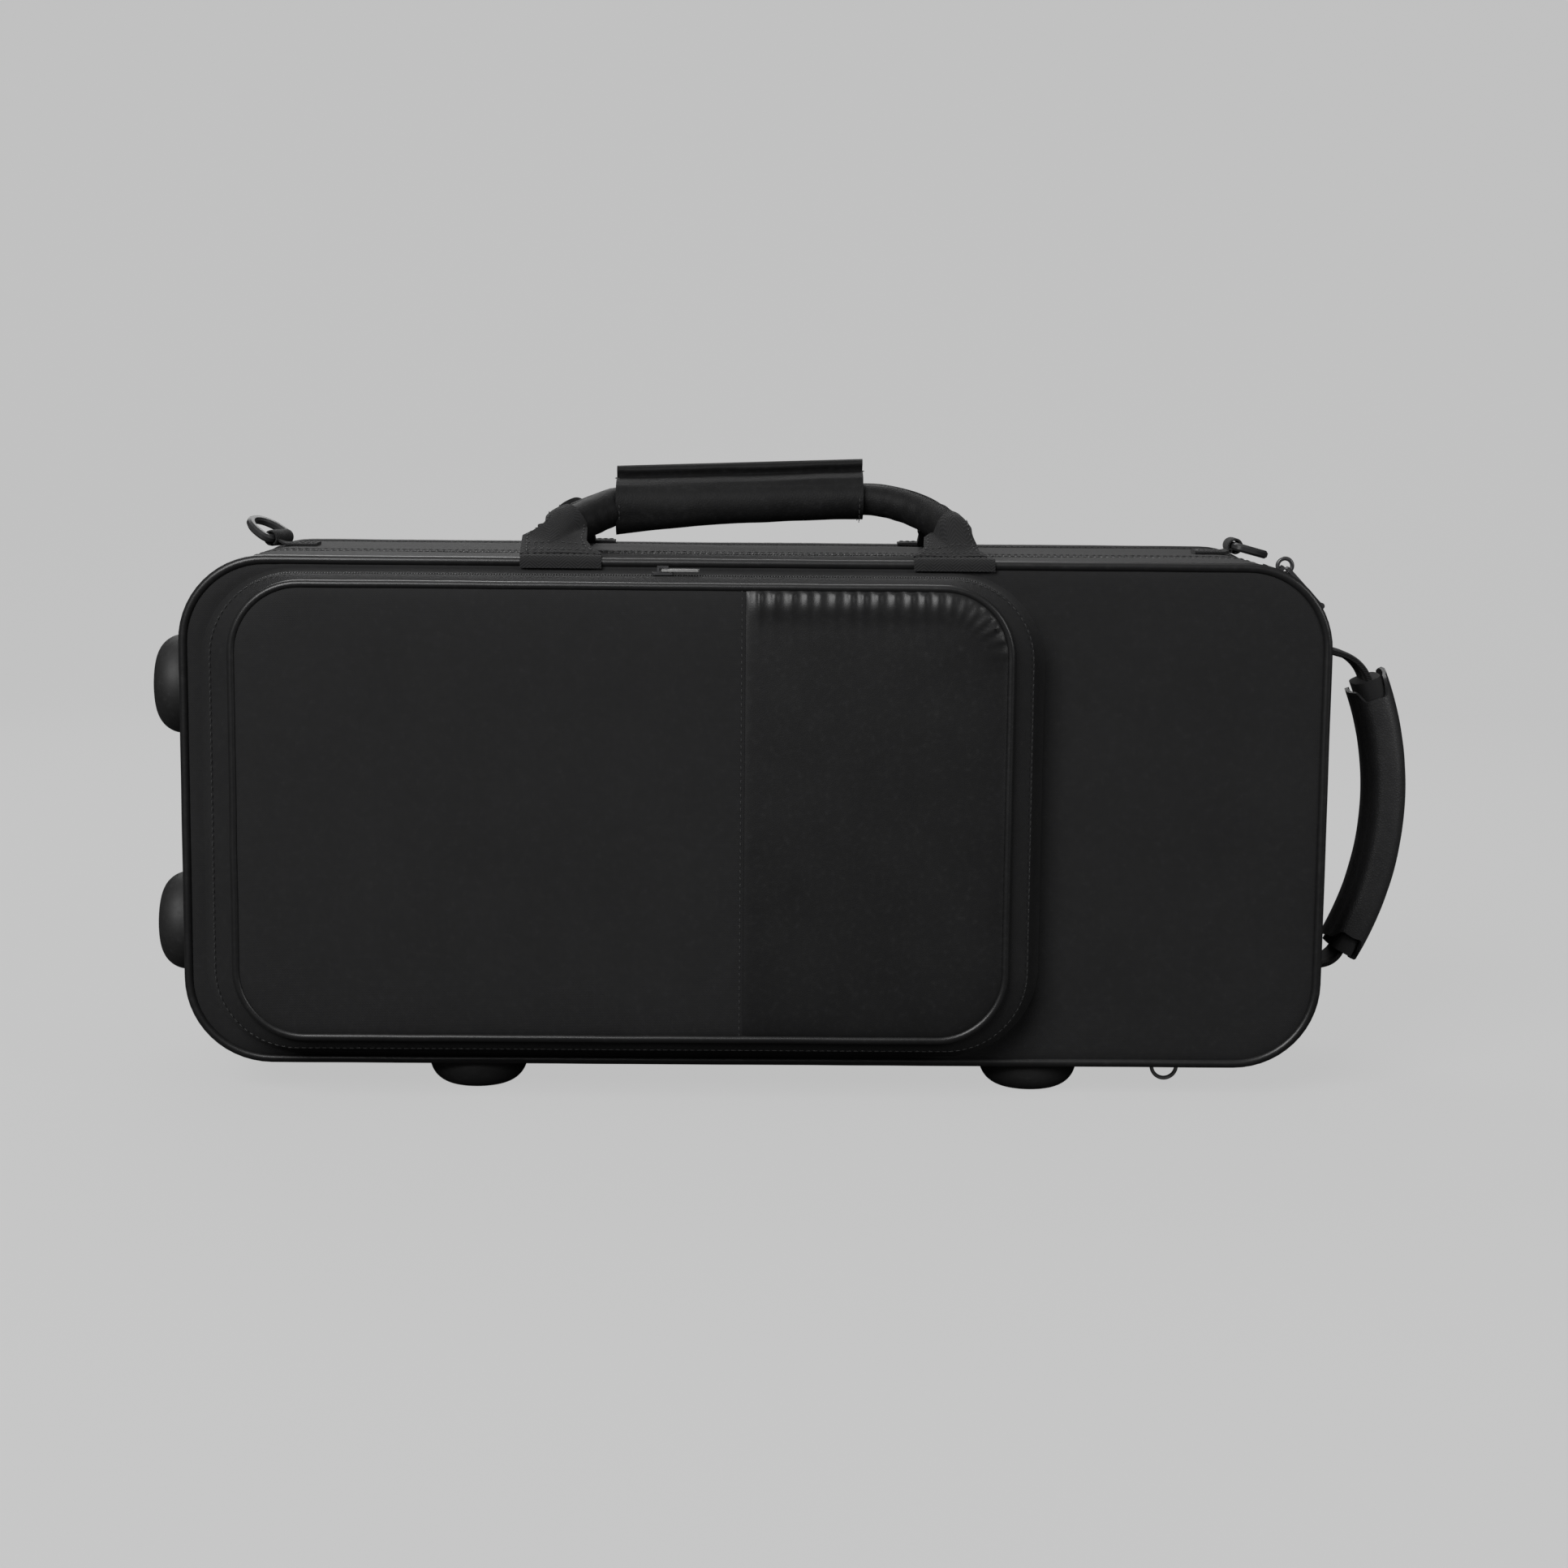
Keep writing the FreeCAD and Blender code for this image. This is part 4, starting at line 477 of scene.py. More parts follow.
def repeat_tree():
    """Geometry nodes: like pieces set along a line, each turned to face outwards."""
    tree = bpy.data.node_groups.new("Pieces Along A Line", "GeometryNodeTree")
    for name, kind, value in (
            ("Geometry", "Geometry", None), ("Pitch", "Float", 3 * MM), ("Piece Length", "Float", 2.2 * MM),
            ("Piece Width", "Float", 0.6 * MM), ("Piece Height", "Float", 0.4 * MM),
            ("Slant", "Float", 0.0), ("Unevenness", "Float", 0.04), ("Seed", "Int", 7),
            ("Material", "Material", None)):
        made = tree.interface.new_socket(name=name, in_out="INPUT", socket_type="NodeSocket" + kind)
        if value is not None:
            made.default_value = value
    tree.interface.new_socket(name="Geometry", in_out="OUTPUT", socket_type="NodeSocketGeometry")
    wires = Wiring(tree)
    given = wires.node("NodeGroupInput").outputs
    curve = wires.node("GeometryNodeMeshToCurve", {"Mesh": given["Geometry"]}).outputs["Curve"]
    evened = wires.node("GeometryNodeResampleCurve", {"Curve": curve, "Length": given["Pitch"]},
                        mode="LENGTH").outputs["Curve"]
    capture = wires.node("GeometryNodeCaptureAttribute", {"Geometry": evened})
    capture.capture_items.new("VECTOR", "Tangent")
    wires.feed(capture, {"Tangent": wires.node("GeometryNodeInputTangent").outputs["Tangent"]})
    points = wires.node("GeometryNodeCurveToPoints", {"Curve": capture.outputs["Geometry"]},
                        mode="EVALUATED").outputs["Points"]
    outward = wires.node("GeometryNodeInputNamedAttribute", {"Name": "outward"},
                         data_type="FLOAT_VECTOR").outputs["Attribute"]
    up = wires.node("FunctionNodeAlignRotationToVector", {"Vector": outward}, axis="Z")
    turn = wires.node("FunctionNodeAlignRotationToVector",
                      {"Rotation": up.outputs["Rotation"], "Vector": capture.outputs["Tangent"]},
                      axis="X", pivot_axis="Z")
    least = wires.math("MULTIPLY", given["Unevenness"], -1.0)
    jitter = wires.node("FunctionNodeRandomValue",
                        {"Seed": given["Seed"], 2: least, 3: given["Unevenness"]}, data_type="FLOAT")
    angle = wires.math("ADD", jitter.outputs[1], given["Slant"])
    spin = wires.node("FunctionNodeAxisAngleToRotation", {"Axis": (0, 0, 1), "Angle": angle})
    rotate = wires.node("FunctionNodeRotateRotation",
                        {"Rotation": turn.outputs["Rotation"], "Rotate By": spin.outputs["Rotation"]},
                        rotation_space="LOCAL")
    bead = wires.node("GeometryNodeMeshUVSphere", {"Segments": 6, "Rings": 5, "Radius": 0.5})
    size = wires.node("ShaderNodeCombineXYZ", {"X": given["Piece Length"], "Y": given["Piece Width"],
                                               "Z": given["Piece Height"]})
    placed = wires.node("GeometryNodeInstanceOnPoints",
                        {"Points": points, "Instance": bead.outputs["Mesh"],
                         "Rotation": rotate.outputs["Rotation"], "Scale": size.outputs["Vector"]})
    real = wires.node("GeometryNodeRealizeInstances", {"Geometry": placed.outputs["Instances"]})
    smooth = wires.node("GeometryNodeSetShadeSmooth", {"Geometry": real.outputs["Geometry"]})
    painted = wires.node("GeometryNodeSetMaterial", {"Geometry": smooth.outputs["Geometry"],
                                                     "Material": given["Material"]})
    wires.node("NodeGroupOutput", {"Geometry": painted.outputs["Geometry"]})
    return tree


def pieces_along(name, lines, material, **sizes):
    """Mesh of like small pieces along lines of (point, outward) pairs."""
    tree = bpy.data.node_groups.get("Pieces Along A Line") or repeat_tree()
    mesh = bpy.data.meshes.new(name + "_line")
    points, edges, outwards = [], [], []
    for line in lines:
        first = len(points)
        points += [p for p, _ in line]
        outwards += [o for _, o in line]
        edges += [(first + i, first + i + 1) for i in range(len(line) - 1)]
    mesh.from_pydata(points, edges, [])
    attribute = mesh.attributes.new("outward", "FLOAT_VECTOR", "POINT")
    for k, outward in enumerate(outwards):
        attribute.data[k].vector = outward
    line_object = bpy.data.objects.new(name + "_line", mesh)
    bpy.context.collection.objects.link(line_object)
    modifier = line_object.modifiers.new("Pieces", "NODES")
    modifier.node_group = tree
    identifiers = {item.name: item.identifier for item in tree.interface.items_tree
                   if item.in_out == "INPUT"}
    for key, value in sizes.items():
        modifier[identifiers[key.replace("_", " ")]] = value
    modifier[identifiers["Material"]] = MATERIALS[material]
    evaluated = line_object.evaluated_get(bpy.context.evaluated_depsgraph_get())
    made = bpy.data.meshes.new_from_object(evaluated)
    made.name = name
    line_object.modifiers.remove(modifier)
    bpy.data.objects.remove(line_object)
    if not made.materials:
        made.materials.append(MATERIALS[material])
    piece = bpy.data.objects.new(name, made)
    bpy.context.collection.objects.link(piece)
    return piece


def stitches(name, lines, body, slot, pitch=3.2 * MM, length=2.3 * MM, width=0.55 * MM):
    """Row of stitches that lies on a surface."""
    piece = pieces_along(name, lines, "thread", Pitch=pitch, Piece_Length=length,
                         Piece_Width=width, Piece_Height=width * 0.8, Slant=0.12)
    return belongs(piece, body, slot)


def line_round(points, n, y, skip=None):
    """Line of points at a height over an outline, with its outward directions."""
    lines, line = [], []
    for x, z, nx, nz in points + points[:1]:
        if skip and skip(x, z):
            lines.append(line)
            line = []
        else:
            line.append((Vector((x + nx * n, y, z + nz * n)), Vector((nx, 0, nz))))
    return [line for line in lines + [line] if len(line) > 1]


def joined_line(points, y, skip):
    """Line round an outline as one run, open where the skipped stretch is."""
    lines = line_round(points, 0, y, skip)
    return lines[0] if len(lines) == 1 else lines[1][:-1] + lines[0]


def crossed_box(near, far, steps, place):
    """Points round a rectangle and once across it; a function puts them in place."""
    corners = [near, (far[0], near[1]), far, (near[0], far[1]), near, far]
    shares = [k / steps for k in range(steps)]
    return [place(a[0] + (b[0] - a[0]) * t, a[1] + (b[1] - a[1]) * t)
            for a, b in zip(corners, corners[1:]) for t in shares]


def flat_line(line):
    """The places and directions of a line, as an outline has them."""
    return [(p.x, p.z, out.x, out.z) for p, out in line]


def circle_profile(n, y, radius, count=14):
    """Round profile centred at a height and a depth."""
    return [(n + radius * math.cos(2 * math.pi * k / count),
             y + radius * math.sin(2 * math.pi * k / count)) for k in range(count)]


def shell_profile(y0, y1, wall, steps, tuck):
    """Profile of a cloth band whose long edges are turned in."""
    way = 1 if y1 > y0 else -1
    outer = []
    for k in range(steps + 1):
        t = k / steps
        y = y0 + (y1 - y0) * t
        near = min(abs(y - y0), abs(y - y1))
        outer.append((-tuck * math.exp(-near / (1.6 * MM)), y))
    return outer + [(-wall, y1 - way * 0.2 * MM), (-wall, y0 + way * 0.2 * MM)]


def cover_bulge(p, n):
    """Unevenness of the case's side cloth."""
    share = 1.0 if n > -1.0 * MM else 0.4
    return share * (ripple(p, 0.075, 0.5 * MM, 2.0) + ripple(p, 0.02, 0.12 * MM, 5.0))


def case_outline(inset=0.0):
    """Outline of the case's side, set in."""
    return outline(*drawn_in(CASE_BOX, CASE_RADIUS, inset), CASE_COUNTS)


def hinge_gap(x, z):
    """True on the bottom stretch that has the fabric hinge."""
    return abs(x - CASE_MID_X) < HINGE_HALF and z < CASE_MID_Z


class CaseLook(bpy.types.PropertyGroup):
    cloth_colour: FloatVectorProperty(
        name="Cloth Colour", description="Colour of the woven cover cloth", subtype="COLOR",
        default=(0.0115, 0.0115, 0.0119), min=0, max=1)
    vinyl_colour: FloatVectorProperty(
        name="Vinyl Colour", description="Colour of the piping and the padded grips", subtype="COLOR",
        default=(0.008, 0.008, 0.0083), min=0, max=1)
    pile_colour: FloatVectorProperty(
        name="Pile Colour", description="Colour of the plush inside the case", subtype="COLOR",
        default=(0.022, 0.022, 0.025), min=0, max=1)
    backdrop_colour: FloatVectorProperty(
        name="Backdrop Colour", description="Colour of the floor and the backdrop", subtype="COLOR",
        default=(0.552, 0.552, 0.552), min=0, max=1)


class CaseSizes(bpy.types.PropertyGroup):
    panel_crown: FloatProperty(
        name="Panel Crown", description="How far a padded panel stands out at its middle",
        default=1.9 * MM, unit="LENGTH")
    pocket_crown: FloatProperty(
        name="Pocket Crown", description="How far the pocket's front stands out at its middle",
        default=2.4 * MM, unit="LENGTH")
    pucker_pitch: FloatProperty(
        name="Pucker Pitch", description="Distance between the gathers of the coated panel",
        default=6.8 * MM, unit="LENGTH")
    tooth_pitch: FloatProperty(
        name="Zip Tooth Pitch", description="Distance between the turns of the main zip's coil",
        default=1.5 * MM, unit="LENGTH")
    stitch_pitch: FloatProperty(
        name="Stitch Pitch", description="Distance between stitches", default=3.2 * MM, unit="LENGTH")
    pile_voxel: FloatProperty(
        name="Pile Detail", description="Grain of the mesh of the moulded plush", default=2.6 * MM,
        unit="LENGTH")
    pile_smoothing: IntProperty(
        name="Pile Rounding", description="How much the plush rounds the foam's edges", default=6)


def fold_cloth(name, middle, half, reach, lift, wave, wall, counts):
    """Strip of cloth that reaches to both sides of a fold, flat but for a slight ripple."""
    columns, rows = counts
    x_mid, y_mid, floor = middle
    sections = []
    for k in range(columns + 1):
        x = x_mid - half + 2 * half * k / columns
        outer, inner = [], []
        for j in range(rows + 1):
            y = y_mid - reach + 2 * reach * j / rows
            z = floor + lift + ripple((x, y, 0), 0.03, wave)
            outer.append(Vector((x, y, z)))
            inner.append(Vector((x, y, z + wall)))
        sections.append(outer + inner[::-1])
    piece = tube(name, sections, False, "cloth")
    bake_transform(piece)
    return piece


class MakeCovers(bpy.types.Operator):
    """Side bands, piping, panels and the fabric hinge of both halves"""
    bl_idname = "trumpet_case.covers"
    bl_label = "Covers"

    def execute(self, context):
        sizes = context.scene.case_sizes
        points = case_outline()
        wall, tuck, piping_gap, piping_radius = 1.5 * MM, 0.9 * MM, 2.9 * MM, 2.2 * MM
        zip_seam, piping_seam, lid_crown = 2.4 * MM, 5.0 * MM, 1.2 * MM
        for body, side, face in HALVES:
            near, far = SPLIT + side * ZIP_HALF, face - side * piping_gap
            piece = band(body + "_cover_band", points, shell_profile(near, far, wall, 18, tuck),
                         "cloth", True, cover_bulge)
            belongs(piece, body, "cover_fabric", body + "_side_band")
            profile = circle_profile(-PIPING_INSET, face - side * PIPING_INSET, piping_radius)
            piece = band(body + "_piping_cord", points, profile, "piping", True,
                         lambda p, n: ripple(p, 0.03, 0.12 * MM, 9.0))
            belongs(piece, body, "piping", body + "_piping")
            for seam, lift, y in (("_zip_seam", 0.15 * MM, near + side * zip_seam),
                                  ("_piping_seam", 0.05 * MM, face - side * piping_seam)):
                stitches(body + seam, line_round(points, lift, y), body, "cover_fabric",
                         sizes.stitch_pitch)
            self.face_panel(body, side, face, sizes.panel_crown if side > 0 else lid_crown)
        piece = fold_cloth("hinge_cloth", (CASE_MID_X, SPLIT, CASE_BOX[2]), HINGE_HALF,
                           reach=5.9 * MM, lift=0.1 * MM, wave=0.1 * MM, wall=1.2 * MM,
                           counts=(98, 12))
        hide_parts("base_hinge_strip", "lid_hinge_strip")
        return {"FINISHED"}

    def face_panel(self, body, side, face, crown):
        """Padded front or back of the case."""
        box, radius = drawn_in(CASE_BOX, CASE_RADIUS, 2.6 * MM)
        pocket, pocket_radius = stage_box("base")

        def surface(x, z):
            d = edge_distance(x, z, box, radius)
            rise = crown * (1 - math.exp(-d / (15 * MM))) - 0.9 * MM * math.exp(-d / (1.8 * MM))
            wave = ripple((x, 0, z), 0.09, 0.45 * MM, 1.0 + side) * min(1, d / 0.02)
            if side < 0 and edge_distance(x, z, pocket, pocket_radius) > -2 * MM:
                rise *= 0.4
                wave *= 0.2
            return face + side * (rise + wave * 0.6)

        piece = panel(body + "_face_cloth", box, radius, surface, face - side * 1.4 * MM, (110, 64),
                      "cloth")
        node = "base_back_panel" if side > 0 else "lid_front_panel"
        belongs(piece, body, "cover_fabric", node, fill=0.3)


# Sections of the zip tapes as (outwards, away from the zip's middle), in millimetres
MAIN_TAPE = ((-1.55, 0.02), (-1.5, 6), (-1.55, 10.8), (-2.05, 10.8), (-2.1, 6), (-2.05, 0.02))
POCKET_TAPE = ((-0.75, 0.02), (-0.75, 4.6), (-1.2, 4.6), (-1.2, 0.02))


class MakeZips(bpy.types.Operator):
    """Tapes and coils of the main zip and the pocket's zip"""
    bl_idname = "trumpet_case.zips"
    bl_label = "Zips"

    def execute(self, context):
        pitch = context.scene.case_sizes.tooth_pitch
        cord_inset, cord_out, cord_radius = 1.2 * MM, 2.1 * MM, 0.45 * MM
        line = joined_line(case_outline(), SPLIT, hinge_gap)
        for body, side, _ in HALVES:
            profile = [(n * MM, SPLIT + side * y * MM) for n, y in MAIN_TAPE]
            self.zip_side(body + "_main", body, body + "_zip_", line, profile, (-0.85, side * 1.37),
                          lambda p, n: ripple(p, 0.02, 0.06 * MM), Pitch=pitch,
                          Piece_Length=pitch * 0.86, Piece_Width=2.7 * MM, Piece_Height=1.5 * MM)
            piece = band(body + "_main_coil_cord", flat_line(line),
                         circle_profile(-cord_inset, SPLIT + side * cord_out, cord_radius, 8), "coil",
                         False)
            belongs(piece, body, "zip_coil")
        half = (POCKET_HIGH[0] - POCKET_LOW[0]) / 2 - 44.5 * MM
        line = joined_line(pocket_outline("mid"), POCKET_ZIP,
                           lambda x, z: abs(x - POCKET_MID_X) < half and z < CASE_MID_Z)
        for part, body, side in (("rear", "lid", 1), ("front", "pocket_flap", -1)):
            profile = [(n * MM, POCKET_ZIP + side * y * MM) for n, y in POCKET_TAPE]
            self.zip_side("pocket_" + part, body, "pocket_" + part + "_zip_", line, profile,
                          (-0.3, side * 1.0), None, Pitch=1.25 * MM, Piece_Length=1.08 * MM,
                          Piece_Width=1.95 * MM, Piece_Height=1.0 * MM)
        return {"FINISHED"}

    def zip_side(self, name, body, node, line, profile, seat, bulge, **teeth):
        """Tape and coil of one side of a zip; the coil's seat is outwards and across, in millimetres."""
        piece = band(name + "_tape", flat_line(line), profile, "tape", False, bulge)
        belongs(piece, body, "zip_tape", node + "tape")
        beads = [(p + o * seat[0] * MM + Vector((0, seat[1] * MM, 0)), o) for p, o in line]
        piece = pieces_along(name + "_coil", [beads], "coil", Slant=0.0, Unevenness=0.01, **teeth)
        belongs(piece, body, "zip_coil", node + "coil")


class MakePocket(bpy.types.Operator):
    """Gussets, padded front panels, piping and seams of the pocket"""
    bl_idname = "trumpet_case.pocket"
    bl_label = "Pocket"

    def execute(self, context):
        sizes = context.scene.case_sizes
        base, mid, front = (pocket_outline(stage) for stage in ("base", "mid", "front"))
        wall, zip_gap, front_gap, piping_radius = 1.2 * MM, 4 * MM, 2.6 * MM, 1.9 * MM

        def slack(amount):
            def bulge(p, t):
                hang = amount * math.sin(math.pi * min(1, max(0, t)))
                return hang + ripple(p, 0.04, 0.35 * MM, 4.0) * math.sin(math.pi * min(1, t * 0.9 + 0.05))
            return bulge

        piece = loft_band("pocket_rear_wall", base, LID_FRONT - 0.1 * MM, mid,
                          POCKET_ZIP + zip_gap, wall, 8, "cloth", slack(-0.5 * MM))
        belongs(piece, "lid", "cover_fabric", "pocket_rear_gusset")
        piece = loft_band("pocket_front_wall", mid, POCKET_ZIP - zip_gap, front,
                          POCKET_FRONT + front_gap, wall, 8, "cloth", slack(0.25 * MM))
        belongs(piece, "pocket_flap", "cover_fabric", "pocket_front_gusset")
        profile = circle_profile(-PIPING_INSET, POCKET_FRONT + PIPING_INSET, piping_radius)
        piece = band("pocket_piping_cord", front, profile, "piping", True,
                     lambda p, n: ripple(p, 0.025, 0.14 * MM, 6.0))
        belongs(piece, "pocket_flap", "piping", "pocket_piping")
        for part, body, depth, lift in (("rear", "lid", 5.6, 0.1), ("front", "pocket_flap", -5.6, -0.6)):
            seam = line_round(mid, lift * MM, POCKET_ZIP + depth * MM)
            stitches("pocket_" + part + "_seam", seam, body, "cover_fabric", sizes.stitch_pitch)
        half = (POCKET_HIGH[0] - POCKET_LOW[0]) / 2 - 41 * MM
        fold_cloth("pocket_hinge_cloth", (POCKET_MID_X, POCKET_ZIP, stage_box("mid")[0][2]), half,
                   reach=4.1 * MM, lift=0.0, wave=0.08 * MM,
                   wall=1.0 * MM, counts=(70, 10))
        self.front_panels(sizes)
        return {"FINISHED"}

    def front_panels(self, sizes):
        """Woven panel and the coated one, gathered along its top edge."""
        box, radius = drawn_in(*stage_box("front"), 2.4 * MM)
        seam_x = CASE_MID_X - 5.4 * MM
        corner_x, corner_z = box[1] - radius, box[3] - radius

        def gather(x, z, d):
            """Height of the gathers along the top edge and round its corner."""
            if z < corner_z - 6 * MM:
                return 0.0
            run = x - seam_x if x < corner_x else \
                corner_x - seam_x + radius * math.atan2(x - corner_x, max(z - corner_z, 1e-6))
            fade = min(1, max(0, run / (6 * MM))) * min(1, max(0, (z - corner_z + 6 * MM) / (18 * MM)))
            wave = 0.5 + 0.5 * math.cos(2 * math.pi * run / sizes.pucker_pitch
                                        + 1.6 * noise.noise(Vector((run * 60, 0, 0))))
            strength = 0.7 + 0.6 * noise.noise(Vector((run * 45, 4, 0)))
            tall = math.exp(-d / (5.5 * MM)) * (1 - math.exp(-d / (1.1 * MM)))
            return fade * (strength * wave ** 1.5 * 2.4 * MM * tall
                           + 1.1 * MM * math.exp(-((d - 7 * MM) / (6 * MM)) ** 2))

        def surface(coated):
            def at(x, z):
                d = edge_distance(x, z, box, radius)
                rise = sizes.pocket_crown * (1 - math.exp(-d / (13 * MM)))
                rise -= 0.7 * MM * math.exp(-d / (1.6 * MM))
                wave = ripple((x, 0, z), 0.08, 0.5 * MM, 7.0) * min(1, d / 0.02)
                seam = 0.35 * MM * math.exp(-abs(x - seam_x) / (1.2 * MM))
                extra = gather(x, z, d) + 0.3 * MM if coated else 0.0
                return POCKET_FRONT - (rise + wave * 0.7 - seam + extra)
            return at

        back_y = POCKET_FRONT + 2.9 * MM
        piece = panel("pocket_woven_panel", box, radius, surface(False), back_y, (84, 72),
                      "cloth", (box[0], seam_x))
        belongs(piece, "pocket_flap", "cover_fabric", "pocket_front_panel", fill=0.35)
        piece = panel("pocket_coated_panel", box, radius, surface(True), back_y, (150, 110),
                      "coated", (seam_x, box[1]))
        belongs(piece, "pocket_flap", "smooth_fabric", "pocket_smooth_panel", fill=0.35)
        surface_at, thread_x, end_gap = surface(False), seam_x - 1.8 * MM, 1 * MM
        heights = [box[2] + end_gap + (box[3] - box[2] - 2 * end_gap) * k / 60 for k in range(61)]
        line = [(Vector((thread_x, surface_at(thread_x, z) - 0.1 * MM, z)), Vector((0, -1, 0)))
                for z in heights]
        stitches("pocket_panel_seam", [line], "pocket_flap", "cover_fabric", sizes.stitch_pitch)


def strip(name, path, half_widths, wall, across, side_count=10):
    """Webbing with soft edges along a path of (centre, facing) pairs."""
    sections = []
    for (centre, facing), half in zip(path, half_widths):
        section = []
        for side in (1, -1):
            for k in range(side_count + 1):
                t = side * (2 * k / side_count - 1)
                edge = math.sqrt(max(0.0, 1 - abs(t) ** 9))
                rise = side * wall / 2 * (0.55 + 0.45 * edge)
                section.append(centre + across * (half * t) + facing * rise)
        sections.append(section)
    return tube(name, sections, False, "webbing")


# Half the distance between a handle's legs, the roll's radius and the ends of the gripped length
SPAN = 92 * MM
ROLL = 8.5 * MM
GRIP_LEFT, GRIP_RIGHT = -69 * MM, 51.4 * MM
LEFT_DROP, RIGHT_TURN = 25 * MM, math.radians(62)

# Where a handle turns: in from the face of its half and over the case's top
HINGE_SEAT = (6.65 * MM, 2.05 * MM)

# Where its roll lies: out from the split and over the case's top
ROLL_SEAT = (8.85 * MM, 24.5 * MM)

# Distance from a handle's hinge to its roll that the legs and bends are drawn for
DRAWN_REACH = 54.35 * MM

# Each leg's outer and inner edge as (height, width) and its top as (place across, height), in millimetres
LEG_OUTLINES = {
    "left": {
        "outer": ((0, 19.5), (19, 19.5), (28, 9), (60, 8.6)),
        "inner": ((0, 18.5), (7, 13.5), (18, 11), (60, 10.2)),
        "top": ((-8.6, 31), (-4.5, 32.5), (0, 34), (10.2, 27.5)),
    },
    "right": {
        "outer": ((0, 15.5), (8, 12), (22, 9.6), (60, 8.6)),
        "inner": ((0, 19), (4, 16.5), (18, 13.5), (60, 12.5)),
        "top": ((-12.5, 18.5), (-9, 22.5), (0, 31.5), (4, 32), (8.6, 30)),
    },
}


class HandleShape:
    """Hinge line, lean and bends of one carrying handle."""

    def __init__(self, face, out):
        self.out = out
        self.hinge = Vector((0, face - out * HINGE_SEAT[0], CASE_BOX[3] + HINGE_SEAT[1]))
        self.roll = Vector((0, SPLIT + out * ROLL_SEAT[0], CASE_BOX[3] + ROLL_SEAT[1]))
        self.reach = (self.roll - self.hinge).length
        self.stretch = self.reach / DRAWN_REACH
        self.up = (self.roll - self.hinge).normalized()
        self.face = Vector((0, self.up.z, -self.up.y)) * out

    def at(self, x, height, lift=0.0):
        """Point of the leaned handle: along the case, up the strap, off its face."""
        return self.hinge + Vector((x, 0, 0)) + self.up * height + self.face * lift


def between_points(table, at):
    """Value at a place in a table of (place, value) pairs, in millimetres."""
    at /= MM
    if at <= table[0][0]:
        return table[0][1] * MM
    for (x0, v0), (x1, v1) in zip(table, table[1:]):
        if at <= x1:
            t = (at - x0) / (x1 - x0)
            return (v0 + (v1 - v0) * t * t * (3 - 2 * t)) * MM
    return table[-1][1] * MM


def roll_bend(shape, side, t):
    """Place and slope of a handle's roll, from the grip's end (0) down to the leg (1)."""
    stretch = shape.stretch
    if side < 0:
        x = GRIP_LEFT + (-SPAN - GRIP_LEFT) * t
        slope = math.atan2(LEFT_DROP * 1.1 * t ** 0.1 * stretch, SPAN + GRIP_LEFT) if t > 0 else 0.0
        return x, shape.reach - LEFT_DROP * stretch * t ** 1.1, slope
    stretch *= 1.15
    turn = RIGHT_TURN * t
    radius = (SPAN - GRIP_RIGHT) / math.sin(RIGHT_TURN)
    drop = radius * (1 - math.cos(turn)) * stretch
    slope = math.atan2(stretch * math.sin(turn), math.cos(turn))
    return GRIP_RIGHT + radius * math.sin(turn), shape.reach - drop, slope


def grip_lift(x):
    """How far the gripped length sags at its left and rises at its right."""
    t = max(0.0, min(1.0, (x - GRIP_LEFT) / (GRIP_RIGHT - GRIP_LEFT)))
    ends = max(0.0, GRIP_LEFT - x, x - GRIP_RIGHT) / (30 * MM)
    return (-1.9 + 4.4 * t) * MM * math.exp(-ends ** 2)


def grip_girth(x):
    """Share of its full thickness that the roll has along the case."""
    t = max(0.0, min(1.0, (x - GRIP_LEFT) / (GRIP_RIGHT - GRIP_LEFT)))
    return 1.04 - 0.17 * t + 0.1 * max(0.0, min(1.0, (x - GRIP_RIGHT) / (40 * MM)))


